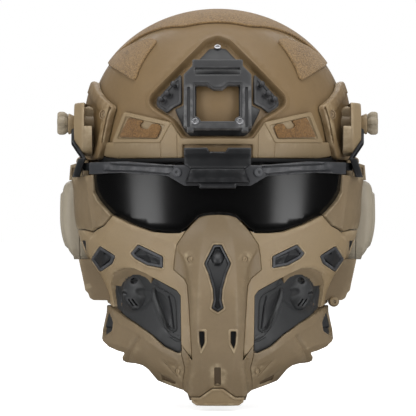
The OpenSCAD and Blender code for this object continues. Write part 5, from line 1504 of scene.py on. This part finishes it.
def pad(outline, outer, deep, channels=()):
    """A foam pad on the shell's inside: flat against it, crowned towards the head, sides drawn in."""
    marks = [plain(outline, 0.6, 1.4, 2.4, 3.6, 5.2, 7.2, 9.5)]
    marks += [plain(c, -3, -1.5, 0, 1.5, 3, closed=False) for c in channels]

    def floor(p, depths):
        low = outer - 2.2 - (deep - 2.2) * (0.25 + 0.75 * crowned(depths[0], 10))
        for d in depths[1:]:
            low = low + 2.6 * (1 - ease(0, 3.2, d))
        return low + 0.25 * np.sin(p[:, 0] * 0.35) * np.sin(p[:, 1] * 0.31)
    return plate(on_shell, outline, outer, 0, 1.2, 4, marks=marks, floor=floor)


def shell_patch(u_low, u_high, z_low, z_high, corner=6):
    """A pad's outline on the flat disc from azimuths and heights."""
    us, zs = np.radians([u_low, u_high]), [z_low, z_high]
    turns = np.concatenate([np.linspace(*us, 14), np.linspace(*us[::-1], 14)])
    return curve(disc_of(turns, np.repeat(zs, 14).astype(float)), corner, 2.2)


PAD_OUT = -SHELL_T - 1.0
PAD_DEEP = LINER_GAP - 1.3
BAND_OFF = -SHELL_T - LINER_GAP


def cushion(name, shape, node):
    piece(name, shape, FOAM, node=node, sharp=70)


def head_pads():
    plan = curve([[-38, -40], [38, -40], [38, 50], [-38, 50]], 9, 2.2)
    cross = [shell_plan_view(dense(c, 2, False)) for c in ([[-38, 5], [38, 5]], [[0, -40], [0, 50]])]
    cushion("crown_cushion", pad(shell_plan_view(plan), PAD_OUT, PAD_DEEP, cross), "pad_crown")
    front = pad(shell_patch(-32, 32, 20, 52), -RECESS_DEPTH - 4.0, PAD_DEEP - 6.0)
    cushion("brow_cushion", front, "pad_front")
    cushion("rear_cushion", pad(shell_patch(150, 210, -28, 24), PAD_OUT, PAD_DEEP), "pad_rear")
    cushion("side_cushions", with_mirror(pad(shell_patch(66, 104, 36, 72), PAD_OUT, PAD_DEEP)), "side_pads")


def band_level(u):
    return mix(12, -34, (1 - math.cos(u)) / 2)


def fit_band():
    """The headband, lower at the back, and the four hangers that carry it."""
    ring = ((-10, -0.6), (-9.4, 0), (9.4, 0), (10, -0.6), (10, -1.9), (9.4, -2.5), (-9.4, -2.5), (-10, -1.9))
    sections = [np.array([dome(np.array(u), np.array(band_level(u) + h), BAND_OFF + off) for h, off in ring])
                for u in np.radians(np.arange(-180, 180, 3.0))]
    hangers = []
    for u in (52, 143, 217, 308):
        height = band_level(math.radians(u))
        rim = max(float(rim_z(math.radians(v if v < 180 else v - 360))) for v in (u - 5, u + 5)) + 1
        loop = shell_patch(u - 5, u + 5, max(height - 6, rim), height + 24, 3)
        hangers.append(plate(on_shell, loop, PAD_OUT, BAND_OFF - 1.4, 0.8, 5))
    return joined(swept(sections), *hangers)


def fit_dial():
    """The dial's case on the band, its fluted wheel and the nape pad in front of it."""
    rear_y = float(dome(np.array(math.pi), np.array(-44.0), BAND_OFF)[1])
    dial_z, thick, wide, tall = RIM_BACK - 19, 12, 22, 17
    box = rounded(box_of(wide, tall), 6)
    place = plane((0, rear_y - 2, dial_z), (-1, 0, 0), (0, 0, 1))
    case = flat(place, box, thick, 1.6, 4, marks=[level(curve(box, 3, 1.5, 3), -0.8, 0, 0.8)])
    tab = plate(on_shell, shell_patch(174, 186, dial_z + 15.5, -30, 3), BAND_OFF + 3, BAND_OFF + SEAT, 0.6, 4)
    piece("dial_case", joined(case, tab), GREY, node="dial_housing")

    def fluted(r, z, t):
        return r - 0.8 * (0.5 + 0.5 * math.cos(18 * t))**2 if r > 13 else r
    profile = [(9.6, 5.5), (10, 6.2), (10.4, 7), (13.2, 7), (14, 6.2), (14, 0.8), (13.3, 0), (3, 0), (3, -8)]
    wheel = spun(profile, 144, fluted)
    wheel = turned_to(wheel, (0, rear_y - 2 + thick + SEAT, dial_z), (0, 1, 0))
    piece("dial_wheel", wheel, JET, "dial", node="dial_knob")

    nape = rounded(box_of(31, 16), 7)
    marks = [Mark(dense(nape, 1.5), lambda d: 5.4 * crowned(d, 9), (0.6, 1.4, 2.6, 4.2, 6.2, 9))]
    marks += [groove(dense([[x, -12], [x, 12]], 1.6, False), -1.6, 0, 2.4, 1, 2) for x in (-10, 10)]
    place = plane((0, rear_y - 2 - SEAT, dial_z), (1, 0, 0), (0, 0, 1))
    cushion("nape_cushion", flat(place, nape, 2.4, 1.0, 3, marks=marks), "nape_pad")


def build_liner():
    head_pads()
    piece("fit_band", fit_band(), GREY, node="headband")
    fit_dial()


build_shell()
build_shroud()
build_visor()
build_mask()
piece("rear_guard_panel_right", joined(rear_guard(), guard_boss()), TAN_SHADED_COPY, node="rear_guard_right")
piece("rear_guard_panel_left", mirrored(rear_guard()), TAN_SHADED_COPY, node="rear_guard_left")
build_ears()
build_liner()


# Stage, lamps and camera

def softbox(name, place, target, size, power):
    lamp = bpy.data.lights.new(name, "AREA")
    lamp.shape = "RECTANGLE"
    lamp.size, lamp.size_y = size
    lamp.energy = power
    made = bpy.data.objects.new(name, lamp)
    bpy.context.scene.collection.objects.link(made)
    made.location = place
    made.rotation_euler = (Vector(target) - Vector(place)).to_track_quat("-Z", "Y").to_euler()


def stage():
    world = bpy.data.worlds.new("studio")
    bpy.context.scene.world = world
    world.use_nodes = True
    tree = world.node_tree
    path = add(tree, "LightPath")
    seen = add(tree, "Math", {0: path.outputs["Is Camera Ray"], 1: path.outputs["Is Transmission Ray"]},
               operation="MAXIMUM").outputs[0]
    around = mapped(tree, path.outputs["Is Glossy Ray"], 0, 1, 0.55, 0.2)
    strength = mapped(tree, seen, 0, 1, around, 1.0)
    feed(tree, tree.nodes["Background"], {"Color": (1, 1, 1, 1), "Strength": strength})
    mesh = bpy.data.meshes.new("floor")
    low = CAD_BOX[0].z - 0.004
    mesh.from_pydata([(-9, -4, low), (9, -4, low), (9, 14, low), (-9, 14, low)], [], [(0, 1, 2, 3)])
    made = bpy.data.objects.new("floor", mesh)
    bpy.context.scene.collection.objects.link(made)
    paint, tree, shader, place = nodes_of("floor_paint", "")
    path = add(tree, "LightPath")
    base = tinted(tree, grain(tree, place, 3, 0, 1), (0.86, 0.86, 0.86), (0.88, 0.88, 0.88))
    base = tinted(tree, path.outputs["Is Glossy Ray"], base, (0.0, 0.0, 0.0))
    glow = mapped(tree, path.outputs["Is Camera Ray"], 0, 1, 0, 0.62)
    feed(tree, shader, {"Base Color": base, "Roughness": 0.8, "Emission Color": (1, 1, 1, 1),
                        "Emission Strength": glow})
    mesh.materials.append(paint)


def camera():
    """Level with the helmet's middle and three metres in front, as the photograph looks."""
    lens = bpy.data.cameras.new("camera")
    made = bpy.data.objects.new("camera", lens)
    bpy.context.scene.collection.objects.link(made)
    away, scale, centre_x, centre_z, pixels = 3000.0, 0.781, 217.6, 208.5, 416
    level = -34.0
    wide = scale * pixels
    lens.sensor_width = 36
    lens.lens = 36 * away / wide
    lens.shift_x = -(centre_x - pixels / 2) / pixels
    lens.shift_y = (centre_z - pixels / 2) / pixels
    lens.clip_end = 20
    made.location = (0, -away * MM, level * MM)
    made.rotation_euler = (math.pi / 2, 0, 0)
    bpy.context.scene.camera = made


def lamps():
    aim = (0, 0, -0.03)
    softbox("key_left", (-1.5, -1.5, 0.9), aim, (0.7, 1.4), 15)
    softbox("key_right", (1.5, -1.5, 0.9), aim, (0.7, 1.4), 15)
    softbox("top", (0, -0.3, 1.7), aim, (1.6, 1.2), 18)
    softbox("rear", (0, 1.8, 1.0), aim, (1.6, 1.0), 14)
    for side in (-1, 1):
        place, target = (0.485 * side, -0.347, -0.155), (0.056 * side, -0.109, -0.155)
        softbox(f"strip_{side + 1}", place, target, (0.26, 0.08), 0.42)


stage()
camera()
lamps()
bpy.context.scene.view_settings.view_transform = "Standard"
